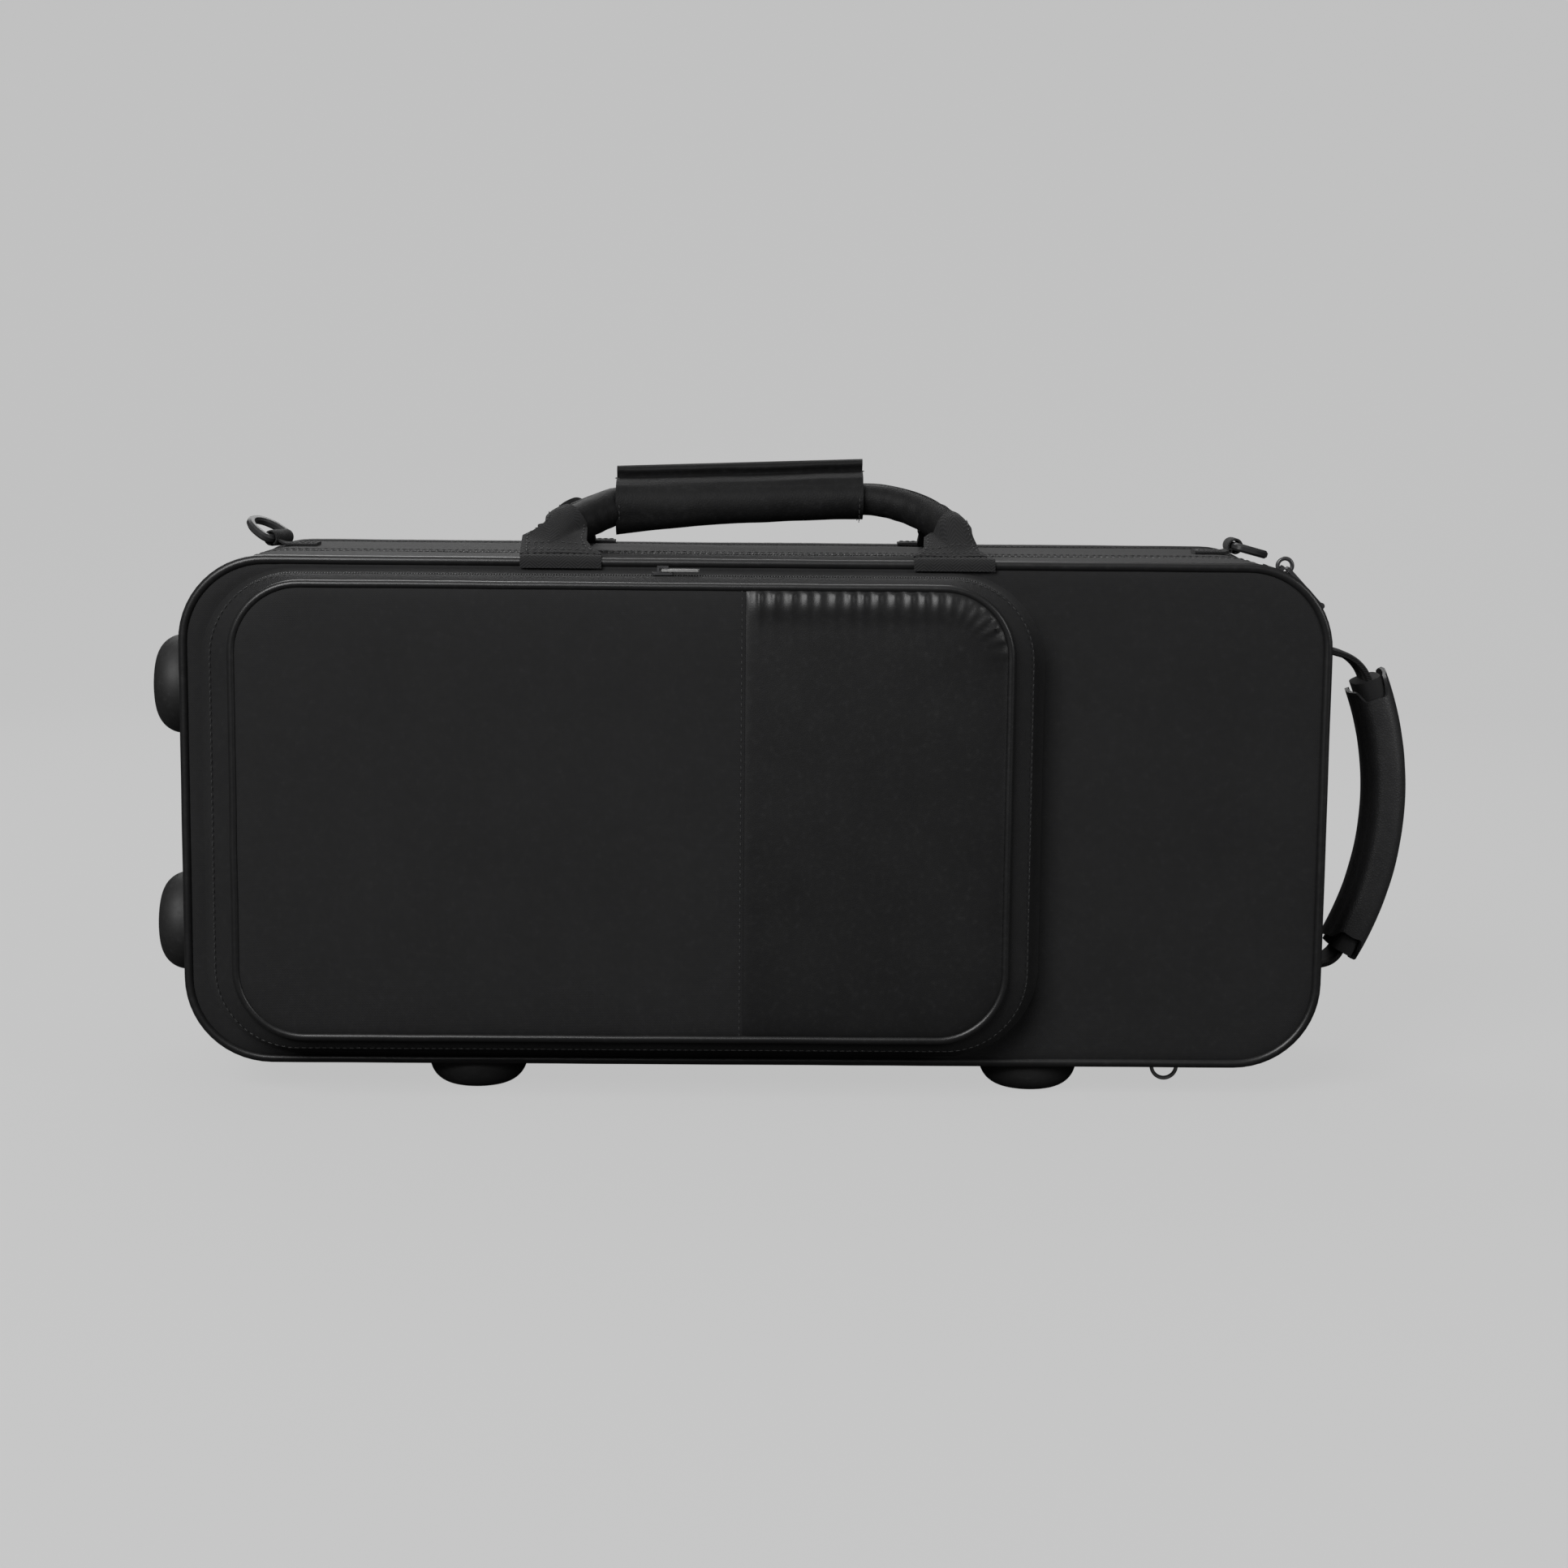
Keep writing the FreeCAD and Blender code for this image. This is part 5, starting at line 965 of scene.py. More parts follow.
class MakeHandles(bpy.types.Operator):
    """Carrying handles: webbing legs, padded rolls and the wrapped grip"""
    bl_idname = "trumpet_case.handles"
    bl_label = "Carrying Handles"

    def execute(self, context):
        for part, body, face, out in (("front", "lid", LID_FRONT, -1), ("rear", "base", BASE_BACK, 1)):
            shape = HandleShape(face, out)
            mover = part + "_handle"
            self.legs(part, mover, shape)
            self.roll(part, mover, shape)
            self.wrap(part, mover, shape)
            self.flaps(part, body, face, out)
        return {"FINISHED"}

    def legs(self, part, mover, shape):
        """Webbing legs: flat at the foot, then round the roll's ends, with one corner left standing."""
        lines = []
        columns, rows = 34, 44
        flat = 1.65 * MM
        for side, name in ((-1, "left"), (1, "right")):
            outer, inner, top = (LEG_OUTLINES[name][key] for key in ("outer", "inner", "top"))
            if part == "rear":
                inner = ((0, 9), (18, 9)) + inner[-1:]
            end_x, end_height, slope = roll_bend(shape, side, 1)
            middle = CASE_MID_X + end_x
            along = Vector((-side * math.cos(slope), math.sin(slope)))

            def edges(nominal):
                left, right = (outer, inner) if side < 0 else (inner, outer)
                return -between_points(left, nominal), between_points(right, nominal)

            def place(t, v):
                left, right = edges(50 * MM)
                reach = between_points(top, left + (right - left) * t) * shape.stretch
                left, right = edges(-1.2 * MM + 37 * MM * v)
                return left + (right - left) * t, -1.2 * MM + (reach + 1.2 * MM) * v

            def lift(x, height):
                away = Vector((x, height - end_height))
                run = away.dot(along)
                aside = abs(away.x * along.y - away.y * along.x)
                shell = ROLL * grip_girth(end_x) + 0.9 * MM
                round_part = math.sqrt(max(0.0, shell ** 2 - aside ** 2))
                ease = max(0.0, min(1.0, 1 + run / (22 * MM)))
                ease = ease * ease * (3 - 2 * ease)
                return max(flat, flat + (round_part - flat) * ease)

            def seam(spots):
                line = []
                for t, v in spots:
                    x, height = place(t, v)
                    line.append((shape.at(middle + x, height, lift(x, height) + 0.25 * MM), shape.face))
                return line

            sections = []
            for k in range(rows + 1):
                front, back = [], []
                for j in range(columns + 1):
                    t = j / columns
                    x, height = place(t, k / rows)
                    wave = ripple((x, height, side), 0.014, 0.5 * MM)
                    edge = 0.4 * MM * (abs(t - 0.5) * 2) ** 12
                    off = lift(x, height)
                    front.append(shape.at(middle + x, height, off - edge + wave))
                    back.append(shape.at(middle + x, height, -off * 0.93 + edge + wave))
                sections.append(front + back[::-1])
            piece = tube(part + "_" + name + "_leg", sections, False, "webbing")
            self.bend_at_foot(piece, part, mover, shape)
            if side < 0:
                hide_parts(part + "_handle_strap")
            lines += [seam((t, 0.06 + 0.86 * k / 24) for k in range(25)) for t in (0.08, 0.92)]
            lines += [seam((0.1 + 0.8 * k / 12, v) for k in range(13)) for v in (0.1, 0.3)]
        piece = pieces_along(part + "_leg_seams", lines, "thread", Pitch=3.0 * MM, Piece_Length=2.1 * MM,
                             Piece_Width=0.55 * MM, Piece_Height=0.4 * MM, Unevenness=0.12)
        self.bend_at_foot(piece, part, mover, shape)

    def bend_at_foot(self, piece, part, mover, shape):
        """Bakes a sewn-down piece's transform into its mesh."""
        tuple(shape.at(0, -1 * MM))
        tuple(shape.at(0, 12 * MM))
        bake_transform(piece)

    def roll(self, part, mover, shape):
        """Padded roll: straight under the wrap, creased where it bends down to the legs."""
        left = [(*roll_bend(shape, -1, 1 - k / 30), 1) for k in range(31)]
        straight = [(GRIP_LEFT + (GRIP_RIGHT - GRIP_LEFT) * k / 40, shape.reach, 0, 1)
                    for k in range(1, 40)]
        right = [(*roll_bend(shape, 1, k / 36), -1) for k in range(37)]
        steps = left + straight + right
        count = 30
        sections = []
        for index, (x, height, slope, way) in enumerate(steps):
            tangent = Vector((math.cos(slope), 0, 0)) + shape.up * (way * math.sin(slope))
            inward = shape.face.cross(tangent).normalized()
            centre = shape.at(CASE_MID_X + x, height) + Vector((0, 0, grip_lift(x)))
            bending = min(1.0, slope / 0.3)
            last = min(index, len(steps) - 1 - index)
            close = (1 - 0.22 * math.exp(-last / 1.5)) * grip_girth(x)
            section = []
            for k in range(count):
                phi = 2 * math.pi * k / count
                d = shape.face * math.cos(phi) + inward * math.sin(phi)
                inside = max(0.0, -d.dot(shape.up)) ** 2
                crease = 0.4 * MM * bending * math.cos(index * 0.95) * inside
                lump = 0.03 * noise.noise(centre * 45 + d) + 0.012 * noise.noise(centre * 160 + d * 2)
                section.append(centre + d * (ROLL * close * (1 + lump) - crease))
            sections.append(section)
        piece = tube(part + "_roll_padding", sections, False, "vinyl")
        belongs(piece, mover, "padding_cover", part + "_handle_roll", fill=0.85)

    def wrap(self, part, mover, shape):
        """Half of the wrapped grip, with its upstanding hook-and-loop edge."""
        low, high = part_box(part + "_grip_wrap")
        x0, x1 = low[0], high[0]
        out = shape.out
        y_mid, z_mid = shape.roll.y, shape.roll.z
        inner, outer = 8.75 * MM, 10.25 * MM
        meet = SPLIT + out * 0.03 * MM
        top = high[2]
        bead = ((0, 0.4), (0.05, 1.3), (0.15, 2.3), (0.3, 3.1), (0.45, 3.2), (0.6, 2.6), (0.75, 1.9),
                (0.9, 1.6))
        tall = 6.0 * MM
        skin = [(meet + out * reach * MM, top - tall * drop) for drop, reach in bead]
        shoulder = top - tall - z_mid
        wide = abs(y_mid - meet) + outer - 1.6 * MM
        for k in range(19):
            a = math.radians(88 - 88 * k / 18)
            skin.append((meet + out * (1.6 * MM + wide * math.cos(a) ** 0.92),
                         z_mid + shoulder * math.sin(a) ** 0.92))
        arc = [math.radians(68 - (68 + 106) * k / 26) for k in range(27)]
        skin += [(y_mid + out * outer * math.cos(a), z_mid + outer * math.sin(a)) for a in arc if a < -0.05]
        outside = len(skin) + 1
        skin += [(meet, z_mid - outer + 0.25 * MM), (meet, z_mid - inner)]
        skin += [(y_mid + out * inner * math.cos(a), z_mid + inner * math.sin(a)) for a in arc[::-1]]
        skin += [(meet, z_mid + inner + 0.8 * MM)]
        sections = []
        count = 64
        for k in range(count + 1):
            t = k / count
            x = x0 + (x1 - x0) * t
            girth = grip_girth(x - CASE_MID_X)
            sag = grip_lift(x - CASE_MID_X)
            curl = 0.5 * MM * (math.exp(-t * 16) + math.exp(-(1 - t) * 16))
            section = []
            for index, (y, z) in enumerate(skin):
                away = Vector((0, y - y_mid, z - z_mid)).normalized()
                face_out = 1 if index < outside else 0
                swell = ripple((x, y, z), 0.018, 0.4 * MM, 3.0) + curl
                lift = sag
                if out < 0 and z < z_mid - outer * 0.5 and face_out:
                    lift -= 2.6 * MM * max(0.0, 1 - t / 0.42) ** 1.2 * min(1, (z_mid - z) / outer)
                z = z_mid + (z - z_mid) * (girth if z < z_mid + outer else 1)
                free = 0.8 if abs(y - SPLIT) > 2.2 * MM else 0
                section.append(Vector((x, y, z + lift)) + away * swell * face_out * free)
            sections.append(section)
        piece = tube(part + "_wrap_vinyl", sections, False, "vinyl", 50)
        belongs(piece, mover, "padding_cover", part + "_grip_wrap", fill=0.5)
        edge = [x0 + (x1 - x0) * k / 30 for k in range(31)]
        lines = [[(Vector((x, meet + out * 1.8 * MM, top - tall + grip_lift(x - CASE_MID_X))),
                   Vector((0, out, 0))) for x in edge]]
        for x in (x0 + 1.8 * MM, x1 - 1.8 * MM):
            middle = Vector((x, y_mid, z_mid + grip_lift(x - CASE_MID_X)))
            ways = [Vector((0, out * math.cos(a), math.sin(a))) for a in arc if -1.4 < a < 0.1]
            lines.append([(middle + way * (outer + 0.5 * MM), way) for way in ways])
        stitches(part + "_wrap_seams", lines, mover, "padding_cover", 3.0 * MM)

    def flaps(self, part, body, face, out):
        """Webbing flaps that lap the piping at each leg."""
        lines = []
        pipe = Vector((0, face - out * PIPING_INSET, CASE_BOX[3] - PIPING_INSET))
        bend, half, wall = 2.9 * MM, 19 * MM, 1.4 * MM
        for side, name in ((-1, "left"), (1, "right")):
            x = CASE_MID_X + side * SPAN
            path = [(pipe + Vector((0, -out * 5.4 * MM, 2.2 * MM)), UP),
                    (pipe + Vector((0, -out * 3.2 * MM, 2.7 * MM)), UP)]
            for k in range(9):
                a = math.radians(90 - 90 * k / 8)
                way = Vector((0, out * math.cos(a), math.sin(a)))
                path.append((pipe + way * bend, way))
            path.append((pipe + Vector((0, out * bend, -2.6 * MM)), Vector((0, out, 0))))
            widths = [half + ripple((x, k * 0.01, 0), 0.02, 0.3 * MM) for k in range(len(path))]
            piece = strip(part + "_" + name + "_flap", path, widths, wall, Vector((1, 0, 0)), 12)
            belongs(piece, body, "webbing", *([part + "_handle_tabs"] if side < 0 else []))
            lines.append([(pipe + Vector((x + (-17 + 34 * k / 12) * MM, 0, 0)) +
                           Vector((0, -out * 2.4 * MM, 3.7 * MM)), UP) for k in range(13)])
            piece.data.transform(Matrix.Translation((x, 0, 0)))
        stitches(part + "_flap_seams", lines, body, "webbing", 3.0 * MM)


# Arc of the end handle's grip: its radius, the degrees from its top end down to its foot, and how
# far its centre lies in from the case's right end and under the case's middle
ARC_RADIUS, ARC_TOP, ARC_SWEEP = 160 * MM, 22.2, 52
ARC_IN, ARC_UNDER = 112 * MM, 1 * MM


class MakeEndHandle(bpy.types.Operator):
    """End handle: webbing, foam core, stitched cover and sewn patches"""
    bl_idname = "trumpet_case.end_handle"
    bl_label = "End Handle"

    def execute(self, context):
        low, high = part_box("end_handle_strap")
        self.y = (low[1] + high[1]) / 2
        self.centre = Vector((CASE_BOX[1] - ARC_IN, self.y, CASE_MID_Z - ARC_UNDER))
        self.strap()
        self.grip()
        self.patches()
        return {"FINISHED"}

    def spot(self, angle, radius=ARC_RADIUS):
        """Point on the grip's arc; the angle is measured up from +X."""
        a = math.radians(angle)
        return self.centre + Vector((radius * math.cos(a), 0, radius * math.sin(a)))

    def lead(self, angle, side, bend):
        """Points from the grip's end round the bend to the wall."""
        start = self.spot(angle)
        h0, h1 = math.radians(abs(angle)), math.radians(75)
        points = []
        for k in range(13):
            h = h0 + (h1 - h0) * k / 12
            points.append(start + Vector((-bend * (math.cos(h0) - math.cos(h)), 0,
                                          side * bend * (math.sin(h) - math.sin(h0)))))
        last = points[-1]
        reach = last.x - (CASE_BOX[1] + WALL_SEAT)
        for k in range(1, 9):
            points.append(last + Vector((-reach * k / 8, 0, side * reach * k / 8 / math.tan(h1))))
        return points

    def strap(self):
        """Webbing of the end handle."""
        top = self.lead(ARC_TOP, 1, 20 * MM)
        bottom = self.lead(ARC_TOP - ARC_SWEEP, -1, 12 * MM)
        middle = [self.spot(ARC_TOP - ARC_SWEEP * k / 24) for k in range(1, 24)]
        centres = top[::-1] + middle + bottom
        path, widths = [], []
        for k, centre in enumerate(centres):
            ahead = centres[min(k + 1, len(centres) - 1)]
            behind = centres[max(k - 1, 0)]
            tangent = (ahead - behind).normalized()
            path.append((centre, Vector((-tangent.z, 0, tangent.x))))
            from_wall = centre.x - (CASE_BOX[1] + WALL_SEAT)
            share = max(0, min(1, from_wall / (20 * MM)))
            widths.append((6.2 + 6.2 * math.sin(share * math.pi / 2)) * MM)
        piece = strip("end_handle_webbing", path, widths, 3.4 * MM, Vector((0, 1, 0)), 12)
        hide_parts("end_handle_strap")
        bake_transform(piece)

    def grip(self):
        """Foam core and the two-sided cover sewn along its outer and inner edges."""
        rings = self.grip_rings(2.6)
        piece = tube("end_grip_core", [outer for outer, _ in rings], False, "foam")
        belongs(piece, "end_handle", "foam", "end_grip_foam", fill=0.9)
        # The cover takes the lighter end grip vinyl, whose colour is a painted highlight
        piece = self.sleeve("end_grip_vinyl", self.grip_rings(0.0), "grip")
        belongs(piece, "end_handle", "padding_cover", "end_grip_cover", fill=0.8)
        lines = []
        top, sweep, radius, aside = 18.5, 44, 167.6 * MM, 9.2 * MM
        for side in (-1, 1):
            line = []
            for k in range(61):
                angle = top - sweep * k / 60
                spot = self.spot(angle, radius) + Vector((0, side * aside, 0))
                face = (self.spot(angle, 1.0) - self.centre).normalized() + Vector((0, side * 0.75, 0))
                line.append((spot, face))
            lines.append(line)
        piece = pieces_along("end_grip_lacing", lines, "thread", Pitch=4.4 * MM, Piece_Length=4.6 * MM,
                             Piece_Width=0.9 * MM, Piece_Height=0.9 * MM, Slant=math.pi / 2,
                             Unevenness=0.12)
        belongs(piece, "end_handle", "padding_cover")

    def grip_rings(self, shrink):
        """Outer and inner rings along the grip: of its cover, or of its core when shrunk."""
        rings = []
        for k in range(71):
            t = k / 70
            outer, inner = [], []
            for j in range(40):
                phi = 2 * math.pi * j / 40
                c, s = math.cos(phi), math.sin(phi)
                y = (16.4 - shrink) * MM * math.copysign(abs(s) ** 0.72, s)
                r = (9.6 - shrink) * MM * math.copysign(abs(c) ** 0.62, c)
                reach = -1.0 * MM
                if not shrink:
                    r += math.copysign(1.5 * MM * max(0, abs(c) - 0.965) / 0.035, c)
                    reach = -10.5 * MM * (1 - abs(c) ** 2.2) - (3.5 * MM if c < 0 else 0) * abs(c) ** 3
                    reach += 0.8 * MM * math.sin(7 * phi)
                ends = reach * (math.exp(-t * 7) - math.exp(-(1 - t) * 7)) / (150 * MM)
                angle = ARC_TOP - ARC_SWEEP * t + math.degrees(ends)
                swell = 0 if shrink else ripple(self.spot(angle, ARC_RADIUS + r), 0.02, 0.5 * MM, 8.0)
                spot = self.spot(angle, ARC_RADIUS + r + math.copysign(swell * 0.5, c))
                outer.append(spot + Vector((0, y + swell * 0.4, 0)))
                inner.append(self.spot(angle, ARC_RADIUS + r * 0.84) + Vector((0, y * 0.9, 0)))
            rings.append((outer, inner))
        return rings

    def sleeve(self, name, sections, material):
        """Open-ended sleeve from its outer and inner sections."""
        bm = bmesh.new()
        add = face_adder(bm, lambda co: (co.z, co.y))
        rows = [([bm.verts.new(p) for p in outer], [bm.verts.new(p) for p in inner])
                for outer, inner in sections]
        count = len(rows[0][0])
        for k in range(len(rows) - 1):
            for i in range(count):
                j = (i + 1) % count
                add(rows[k][0][i], rows[k][0][j], rows[k + 1][0][j], rows[k + 1][0][i])
                add(rows[k][1][i], rows[k + 1][1][i], rows[k + 1][1][j], rows[k][1][j])
        for k in (0, len(rows) - 1):
            for i in range(count):
                j = (i + 1) % count
                add(rows[k][0][i], rows[k][1][i], rows[k][1][j], rows[k][0][j])
        return finish_mesh(name, bm, material, 55)

    def patches(self):
        """Webbing patches that anchor the handle, with crossed stitching."""
        low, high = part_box("end_handle_patches")
        tall, half, wall, seat, thread_seat = 36 * MM, 16, 2.2 * MM, 1.25 * MM, 2.4 * MM
        lines = []
        corner = CASE_BOX[1] - CASE_RADIUS

        def on_wall(y, z, lift):
            x = CASE_MID_X + half_width_at(z, CASE_BOX, CASE_RADIUS)
            past = max(0.0, abs(z - CASE_MID_Z) - (CASE_BOX[3] - CASE_BOX[2]) / 2 + CASE_RADIUS)
            face = Vector((x - corner, 0, math.copysign(past, z - CASE_MID_Z))).normalized()
            return Vector((x, y, z)) + face * lift, face

        for index, (z0, z1) in enumerate(((high[2] - tall, high[2]), (low[2], low[2] + tall))):
            path = [on_wall(self.y, z0 + (z1 - z0) * k / 16, seat) for k in range(17)]
            widths = [(half - 1.2 * (abs(k - 8) / 8) ** 8) * MM for k in range(17)]
            piece = strip("end_patch_" + ("top", "bottom")[index], path, widths, wall,
                          Vector((0, 1, 0)), 12)
            belongs(piece, "base", "webbing", *(["end_handle_patches"] if index == 0 else []))
            a, b = 13 * MM, 15.5 * MM
            mid = (z0 + z1) / 2
            lines.append(crossed_box((-a, -b), (a, b), 12,
                                     lambda y, w: on_wall(self.y + y, mid + w, thread_seat)))
            lines.append([on_wall(self.y - a + 2 * a * k / 12, mid + b - 2 * b * k / 12, thread_seat)
                          for k in range(13)])
        stitches("end_patch_seams", lines, "base", "webbing", 2.8 * MM, 2.0 * MM)


class MakeRings(bpy.types.Operator):
    """Webbing loops of the strap rings, and finishes of rings, feet and zip sliders"""
    bl_idname = "trumpet_case.rings"
    bl_label = "Rings, Feet and Sliders"

    def execute(self, context):
        finishes = {
            "left_shoulder_ring": "black_plastic", "right_shoulder_ring": "black_plastic",
            "lower_ring": "bright_metal", "main_pull_ring": "black_metal",
            "main_pull_tab": "black_metal", "main_zip_slider": "black_metal",
            "pocket_zip_slider": "black_metal", "pocket_zip_pull": "bright_metal",
            "base_bottom_feet": "rubber", "lid_bottom_feet": "rubber", "base_end_feet": "rubber",
            "lid_end_feet": "rubber", "base_foot_screws": "black_metal",
            "lid_foot_screws": "black_metal",
        }
        for node, finish in finishes.items():
            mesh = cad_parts[node].data
            mesh.materials.clear()
            mesh.materials.append(MATERIALS[finish])
        self.top_loops()
        self.lower_loop()
        return {"FINISHED"}

    def top_loops(self):
        """Loops and tails of the two shoulder-strap rings."""
        lines = []
        seat_y = SPLIT + 33 * MM
        bore, spread, half = 2.63 * MM, 239 * MM, 8 * MM
        radius = bore + 1.5 * MM
        for side, name in ((-1, "left"), (1, "right")):
            yaw = math.radians(-22) if side < 0 else 0.0
            seat = Vector((CASE_MID_X + side * spread, seat_y, CASE_BOX[3] + radius))
            turn = Matrix.Rotation(yaw, 3, "Z")
            way = turn @ Vector((side, 0, 0))
            across = turn @ Vector((0, 1, 0))
            mid = bore + 0.78 * MM
            path = []
            for k in range(25):
                a = math.radians(-88 + 330 * k / 24)
                d = way * math.cos(a) + UP * math.sin(a)
                path.append((seat + d * mid, d))
            piece = strip("ring_loop_" + name, path, [half] * len(path), 1.3 * MM, across, 10)
            belongs(piece, "base", "webbing", *(["top_ring_tabs"] if side < 0 else []))
            tail = []
            for k in range(17):
                t = k / 16
                x = seat.x - side * (1.0 * MM + 19 * MM * t)
                rise = 1.0 * MM + 2.2 * MM * max(0, 1 - t * 4) ** 2
                tail.append((Vector((x, seat_y, CASE_BOX[3] + rise + ripple((x, 0, 0), 0.01, 0.1 * MM))),
                             UP))
            piece = strip("ring_tail_" + name, tail, [half] * len(tail), 1.9 * MM, Vector((0, 1, 0)), 10)
            belongs(piece, "base", "webbing")
            near = (seat.x - side * 7.5 * MM, seat_y - 6 * MM)
            far = (seat.x - side * 18 * MM, seat_y + 6 * MM)
            lines.append(crossed_box(near, far, 8,
                                     lambda x, y: (Vector((x, y, CASE_BOX[3] + 2.05 * MM)), UP)))
        stitches("ring_tail_seams", lines, "base", "webbing", 2.6 * MM, 1.9 * MM)

    def lower_loop(self):
        """Loop and tail of the small ring under the lid."""
        low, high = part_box("lower_ring_tab")
        bore = 1.373 * MM
        radius = bore + 1.2 * MM
        x = (low[0] + high[0]) / 2
        seat = Vector((x, SPLIT - 43 * MM, CASE_BOX[2] - radius))
        mid = bore + 0.6 * MM
        path = []
        for k in range(21):
            a = math.radians(95 + 335 * k / 20)
            d = Vector((0, math.cos(a), math.sin(a)))
            path.append((seat + d * mid, d))
        path.append((Vector((x, seat.y + 4 * MM, CASE_BOX[2] - 0.75 * MM)), UP))
        path.append((Vector((x, seat.y + 13.5 * MM, CASE_BOX[2] - 0.7 * MM)), UP))
        piece = strip("lower_ring_loop", path, [3.5 * MM] * len(path), 1.0 * MM, Vector((1, 0, 0)), 8)
        belongs(piece, "lid", "webbing", "lower_ring_tab")


def softened_copy(name, node, material, voxel, rounding, amount):
    """Plush or foam form of a moulded node: its mesh, rounded and slightly uneven."""
    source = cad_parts[node]
    mesh = source.data.copy()
    piece = bpy.data.objects.new(name, mesh)
    bpy.context.collection.objects.link(piece)
    bm = bmesh.new()
    bm.from_mesh(mesh)
    bmesh.ops.remove_doubles(bm, verts=bm.verts, dist=0.01 * MM)
    bm.to_mesh(mesh)
    bm.free()
    remesh = piece.modifiers.new("Remesh", "REMESH")
    remesh.mode = "VOXEL"
    remesh.voxel_size = voxel
    smooth = piece.modifiers.new("Smooth", "SMOOTH")
    smooth.iterations = rounding
    smooth.factor = 0.5
    evaluated = piece.evaluated_get(bpy.context.evaluated_depsgraph_get())
    made = bpy.data.meshes.new_from_object(evaluated)
    piece.modifiers.clear()
    piece.data = made
    made.name = name
    made.materials.clear()
    made.materials.append(MATERIALS[material])
    normals = [v.normal.copy() for v in made.vertices]
    for vertex, normal in zip(made.vertices, normals):
        vertex.co += normal * ripple(vertex.co, 0.03, amount, 11.0)
    made.shade_smooth()
    return piece


class MakeInside(bpy.types.Operator):
    """Foam shells, linings, moulded bed, compartment lid and lid padding"""
    bl_idname = "trumpet_case.inside"
    bl_label = "Inside"
    flat_inset = 60 * MM

    def execute(self, context):
        sizes = context.scene.case_sizes
        for half in HALVES:
            self.cup(*half)
        jobs = (
            ("bed_plush", "trumpet_bed", "plush", "base", "bed_plush", 1.0, 0.4, 0.5),
            ("mouthpiece_block", "mouthpiece_holder", "plush", "base", "bed_plush", 0.55, 0.2, 0.7),
            ("compartment_lid", "accessory_lid", "plush", "accessory_lid", "plush", 0.4, 0.12, 0.3),
            ("lid_padding", "lid_pad", "plush", "lid", "bed_plush", 1.0, 0.6, 0.6),
        )
        for name, node, material, body, slot, share, amount, fill in jobs:
            piece = softened_copy(name, node, material, sizes.pile_voxel * share,
                                  sizes.pile_smoothing, amount * MM)
            belongs(piece, body, slot, node, fill=fill)
        self.pull_ribbon()
        return {"FINISHED"}

    def cup(self, body, side, face):
        """Foam shell and plush lining of one half."""
        rim = SPLIT + side * ZIP_HALF
        back = face - side * 1.5 * MM
        points = case_outline(2.3 * MM)
        deep = -self.flat_inset
        rings = [(0.0, rim + side * 0.4 * MM), (0.0, back - side * 5 * MM),
                 (-1.4 * MM, back - side * 1.4 * MM), (-5 * MM, back), (deep, back - side * 0.1 * MM),
                 (deep, back - side * 6.8 * MM), (-7.0 * MM, back - side * 6.8 * MM),
                 (-6.6 * MM, rim + side * 0.4 * MM)]
        piece = self.dish(body + "_foam", points, rings, "foam")
        belongs(piece, body, "foam", body + "_foam_shell", fill=0.9)
        floor = face - side * 10 * MM
        inner = [(0.0, rim + side * 1.2 * MM), (-0.3 * MM, rim + side * 0.1 * MM),
                 (-3.5 * MM, rim - side * 0.25 * MM), (-7.4 * MM, rim + side * 0.1 * MM),
                 (-8.3 * MM, rim + side * 1.6 * MM), (-8.3 * MM, (rim + floor) / 2),
                 (-8.3 * MM, floor - side * 3 * MM), (-9.4 * MM, floor - side * 0.9 * MM),
                 (-12 * MM, floor), (deep, floor), (deep, floor + side * 1.3 * MM),
                 (-7.2 * MM, floor + side * 1.3 * MM), (-6.9 * MM, (rim + floor) / 2),
                 (-6.9 * MM, rim + side * 2.2 * MM), (0.0, rim + side * 2.2 * MM)]
        piece = self.dish(body + "_plush", points, inner, "plush")
        belongs(piece, body, "plush", body + "_lining")

    def dish(self, name, points, profile, material):
        """Cup from a profile round the case, its middle closed by flat sheets."""
        deep = [k for k, (n, _) in enumerate(profile) if n <= -self.flat_inset]
        bm = bmesh.new()
        add = face_adder(bm, lambda co: (co.x + co.y, co.z))
        rows = []
        for x, z, nx, nz in points:
            row = []
            for k, (n, y) in enumerate(profile):
                spot = (x + nx * n, y, z + nz * n)
                if k in deep:
                    spot = (CASE_MID_X + (x - CASE_MID_X) * 0.25, y, CASE_MID_Z + (z - CASE_MID_Z) * 0.25)
                row.append(bm.verts.new(spot))
            rows.append(row)
        for low, high in zip(rows, rows[1:] + rows[:1]):
            for i in range(len(profile)):
                j = (i + 1) % len(profile)
                if [i, j] != deep:
                    add(low[i], low[j], high[j], high[i])
        for k in deep:
            add(*(row[k] for row in rows))
        return finish_mesh(name, bm, material)

    def pull_ribbon(self):
        """Folded ribbon that lifts the compartment's lid."""
        low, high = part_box("accessory_pull_tab")
        x = (low[0] + high[0]) / 2
        z = (low[2] + high[2]) / 2
        path = []
        for k in range(13):
            t = k / 12
            y = high[1] - (high[1] - low[1]) * t
            path.append((Vector((x, y, z + 0.25 * MM * math.sin(t * math.pi * 2))), UP))
        widths = [7 * MM] * 11 + [6.6 * MM, 5.6 * MM]
        piece = strip("pull_ribbon", path, widths, 1.2 * MM, Vector((1, 0, 0)), 10)
        belongs(piece, "accessory_lid", "webbing", "accessory_pull_tab")


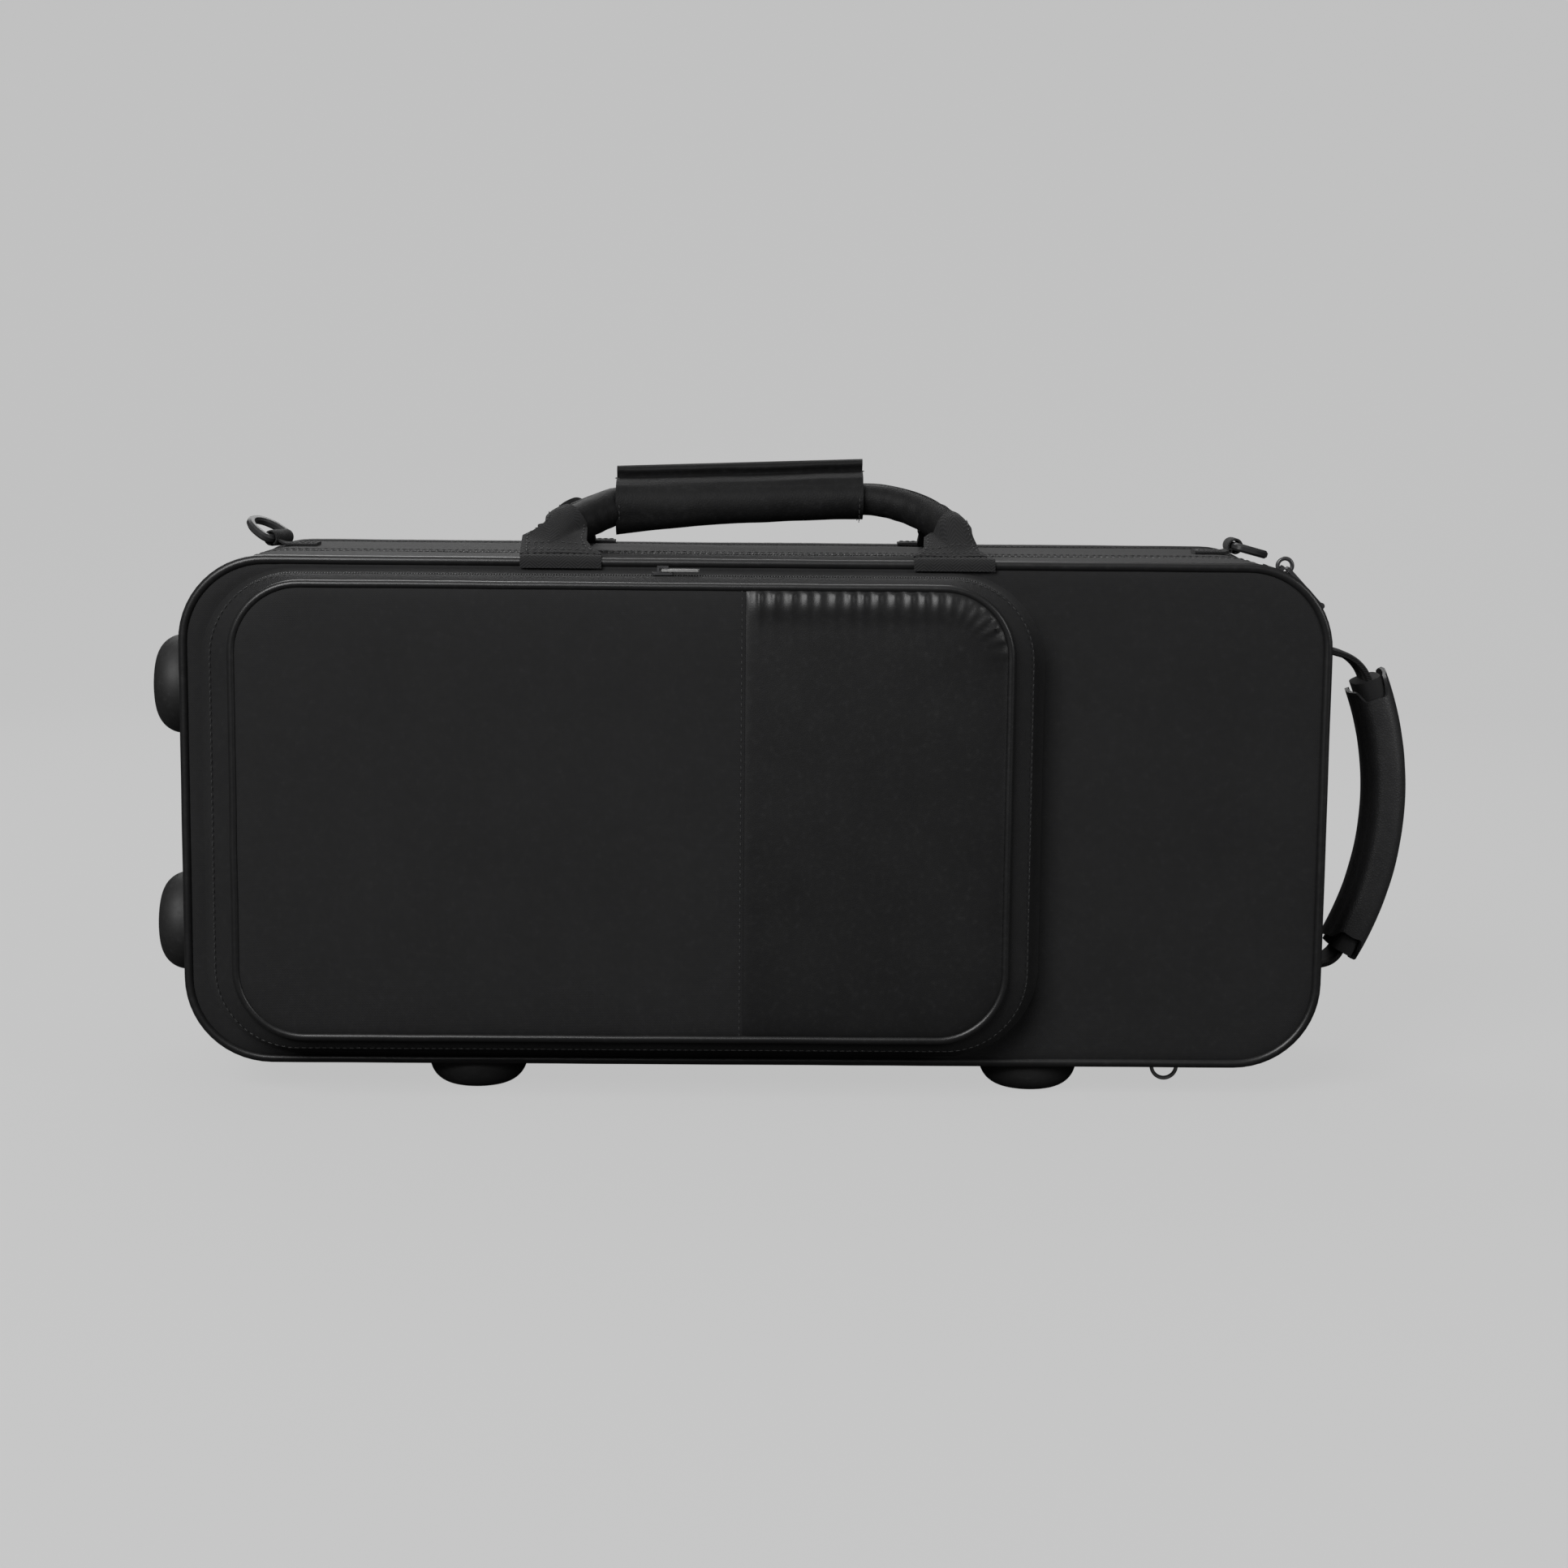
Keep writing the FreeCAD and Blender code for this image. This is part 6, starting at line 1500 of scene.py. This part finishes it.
class MakeStage(bpy.types.Operator):
    """Floor, backdrop, lamps and the camera"""
    bl_idname = "trumpet_case.stage"
    bl_label = "Stage"

    def execute(self, context):
        look = context.scene.case_look
        self.backdrop(tuple(look.backdrop_colour))
        self.lamps()
        self.camera()
        scene = context.scene
        scene.view_settings.view_transform = "Standard"
        world = scene.world or bpy.data.worlds.new("World")
        scene.world = world
        world.use_nodes = True
        wires = Wiring(world.node_tree)
        seen = wires.node("ShaderNodeLightPath").outputs["Is Camera Ray"]
        ambient = 0.24
        strength = wires.math("ADD", wires.math("MULTIPLY", seen, 1 - ambient), ambient)
        wires.feed(world.node_tree.nodes["Background"], {"Color": (*look.backdrop_colour, 1),
                                                         "Strength": strength})
        return {"FINISHED"}

    def backdrop(self, colour):
        """Pale floor that curves up into a backdrop."""
        bm = bmesh.new()
        flat, bend = 1.6, 0.8
        profile = [(-6.0, 0.0), (flat, 0.0)]
        for k in range(1, 13):
            a = math.pi / 2 * k / 12
            profile.append((flat + bend * math.sin(a), bend * (1 - math.cos(a))))
        profile.append((flat + bend, 4.0))
        rows = [[bm.verts.new((x, y, z - 0.0002)) for x in (-4, 4)] for y, z in profile]
        for low, high in zip(rows, rows[1:]):
            bm.faces.new((low[0], low[1], high[1], high[0]))
        mesh = bpy.data.meshes.new("backdrop")
        bm.to_mesh(mesh)
        bm.free()
        mesh.shade_smooth()
        material = bpy.data.materials.new("Backdrop")
        material.use_nodes = True
        wires = Wiring(material.node_tree)
        seen = wires.node("ShaderNodeLightPath").outputs["Is Camera Ray"]
        wires.feed(material.node_tree.nodes["Principled BSDF"], {
            "Base Color": (*[c * 0.1 for c in colour], 1), "Roughness": 0.95,
            "Specular IOR Level": 0.0, "Emission Color": (*colour, 1),
            "Emission Strength": wires.math("MULTIPLY", seen, 0.93)})
        mesh.materials.append(material)
        piece = bpy.data.objects.new("backdrop", mesh)
        bpy.context.collection.objects.link(piece)

    def lamps(self):
        """Large soft lamps from the front left, above, the right and behind."""
        for name, place, aim, size, power in (
                ("key", (-1.0, -1.9, 1.5), (0, 0, 0.13), 1.3, 52),
                ("top", (0.1, 0.1, 1.7), (0, 0, 0.1), 1.2, 3),
                ("right", (1.8, -1.2, 0.9), (0.2, 0, 0.13), 0.8, 9),
                ("back", (-0.3, 1.3, 1.3), (0, 0, 0.2), 1.2, 12)):
            lamp = bpy.data.lights.new(name, "AREA")
            lamp.shape = "SQUARE"
            lamp.size = size
            lamp.energy = power
            holder = bpy.data.objects.new(name, lamp)
            holder.location = place
            way = Vector(aim) - Vector(place)
            holder.rotation_euler = way.to_track_quat("-Z", "Y").to_euler()
            bpy.context.collection.objects.link(holder)

    def camera(self):
        """Camera at the place and angle that the photograph's perspective gives."""
        yaw, pitch, roll = 0.0155, -0.1374, 0.0096
        focal, photo_width, sensor = 3493.8, 1932, 36
        forward = Vector((math.sin(yaw) * math.cos(pitch), math.cos(yaw) * math.cos(pitch),
                          math.sin(pitch)))
        right = Vector((math.cos(yaw), -math.sin(yaw), 0))
        up = right.cross(forward)
        right, up = (right * math.cos(roll) + up * math.sin(roll),
                     up * math.cos(roll) - right * math.sin(roll))
        camera = bpy.data.cameras.new("camera")
        camera.sensor_width = sensor
        camera.lens = focal * sensor / photo_width
        camera.clip_start = 0.01
        camera.clip_end = 50
        holder = bpy.data.objects.new("camera", camera)
        place = Vector((CASE_MID_X - 7.385 * MM, LID_FRONT - 1326.2 * MM, CASE_MID_Z + 198.5 * MM))
        turn = Matrix((right, up, -forward)).transposed().to_4x4()
        holder.matrix_world = Matrix.Translation(place) @ turn
        bpy.context.collection.objects.link(holder)
        bpy.context.scene.camera = holder


class TrumpetCasePanel(bpy.types.Panel):
    """Buttons for each group of the case's pieces"""
    bl_label = "Trumpet Case"
    bl_idname = "VIEW3D_PT_trumpet_case"
    bl_space_type = "VIEW_3D"
    bl_region_type = "UI"
    bl_category = "Trumpet Case"

    def draw(self, context):
        for maker in MAKERS:
            self.layout.operator(maker.bl_idname)
        for group in (context.scene.case_look, context.scene.case_sizes):
            for key in group.bl_rna.properties.keys():
                if key not in ("rna_type", "name"):
                    self.layout.prop(group, key)


MAKERS = (MakeCovers, MakeZips, MakePocket, MakeHandles, MakeEndHandle, MakeRings, MakeInside,
          MakeStage)
CLASSES = (CaseLook, CaseSizes) + MAKERS + (TrumpetCasePanel,)


def register():
    for cls in CLASSES:
        bpy.utils.register_class(cls)
    bpy.types.Scene.case_look = PointerProperty(type=CaseLook)
    bpy.types.Scene.case_sizes = PointerProperty(type=CaseSizes)


def unregister():
    del bpy.types.Scene.case_sizes
    del bpy.types.Scene.case_look
    for cls in reversed(CLASSES):
        bpy.utils.unregister_class(cls)


def main():
    """Builds the whole scene."""
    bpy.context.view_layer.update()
    register()
    make_materials(bpy.context.scene.case_look)
    for maker in MAKERS:
        group, name = maker.bl_idname.split(".")
        getattr(getattr(bpy.ops, group), name)()


if __name__ == "__main__":
    main()
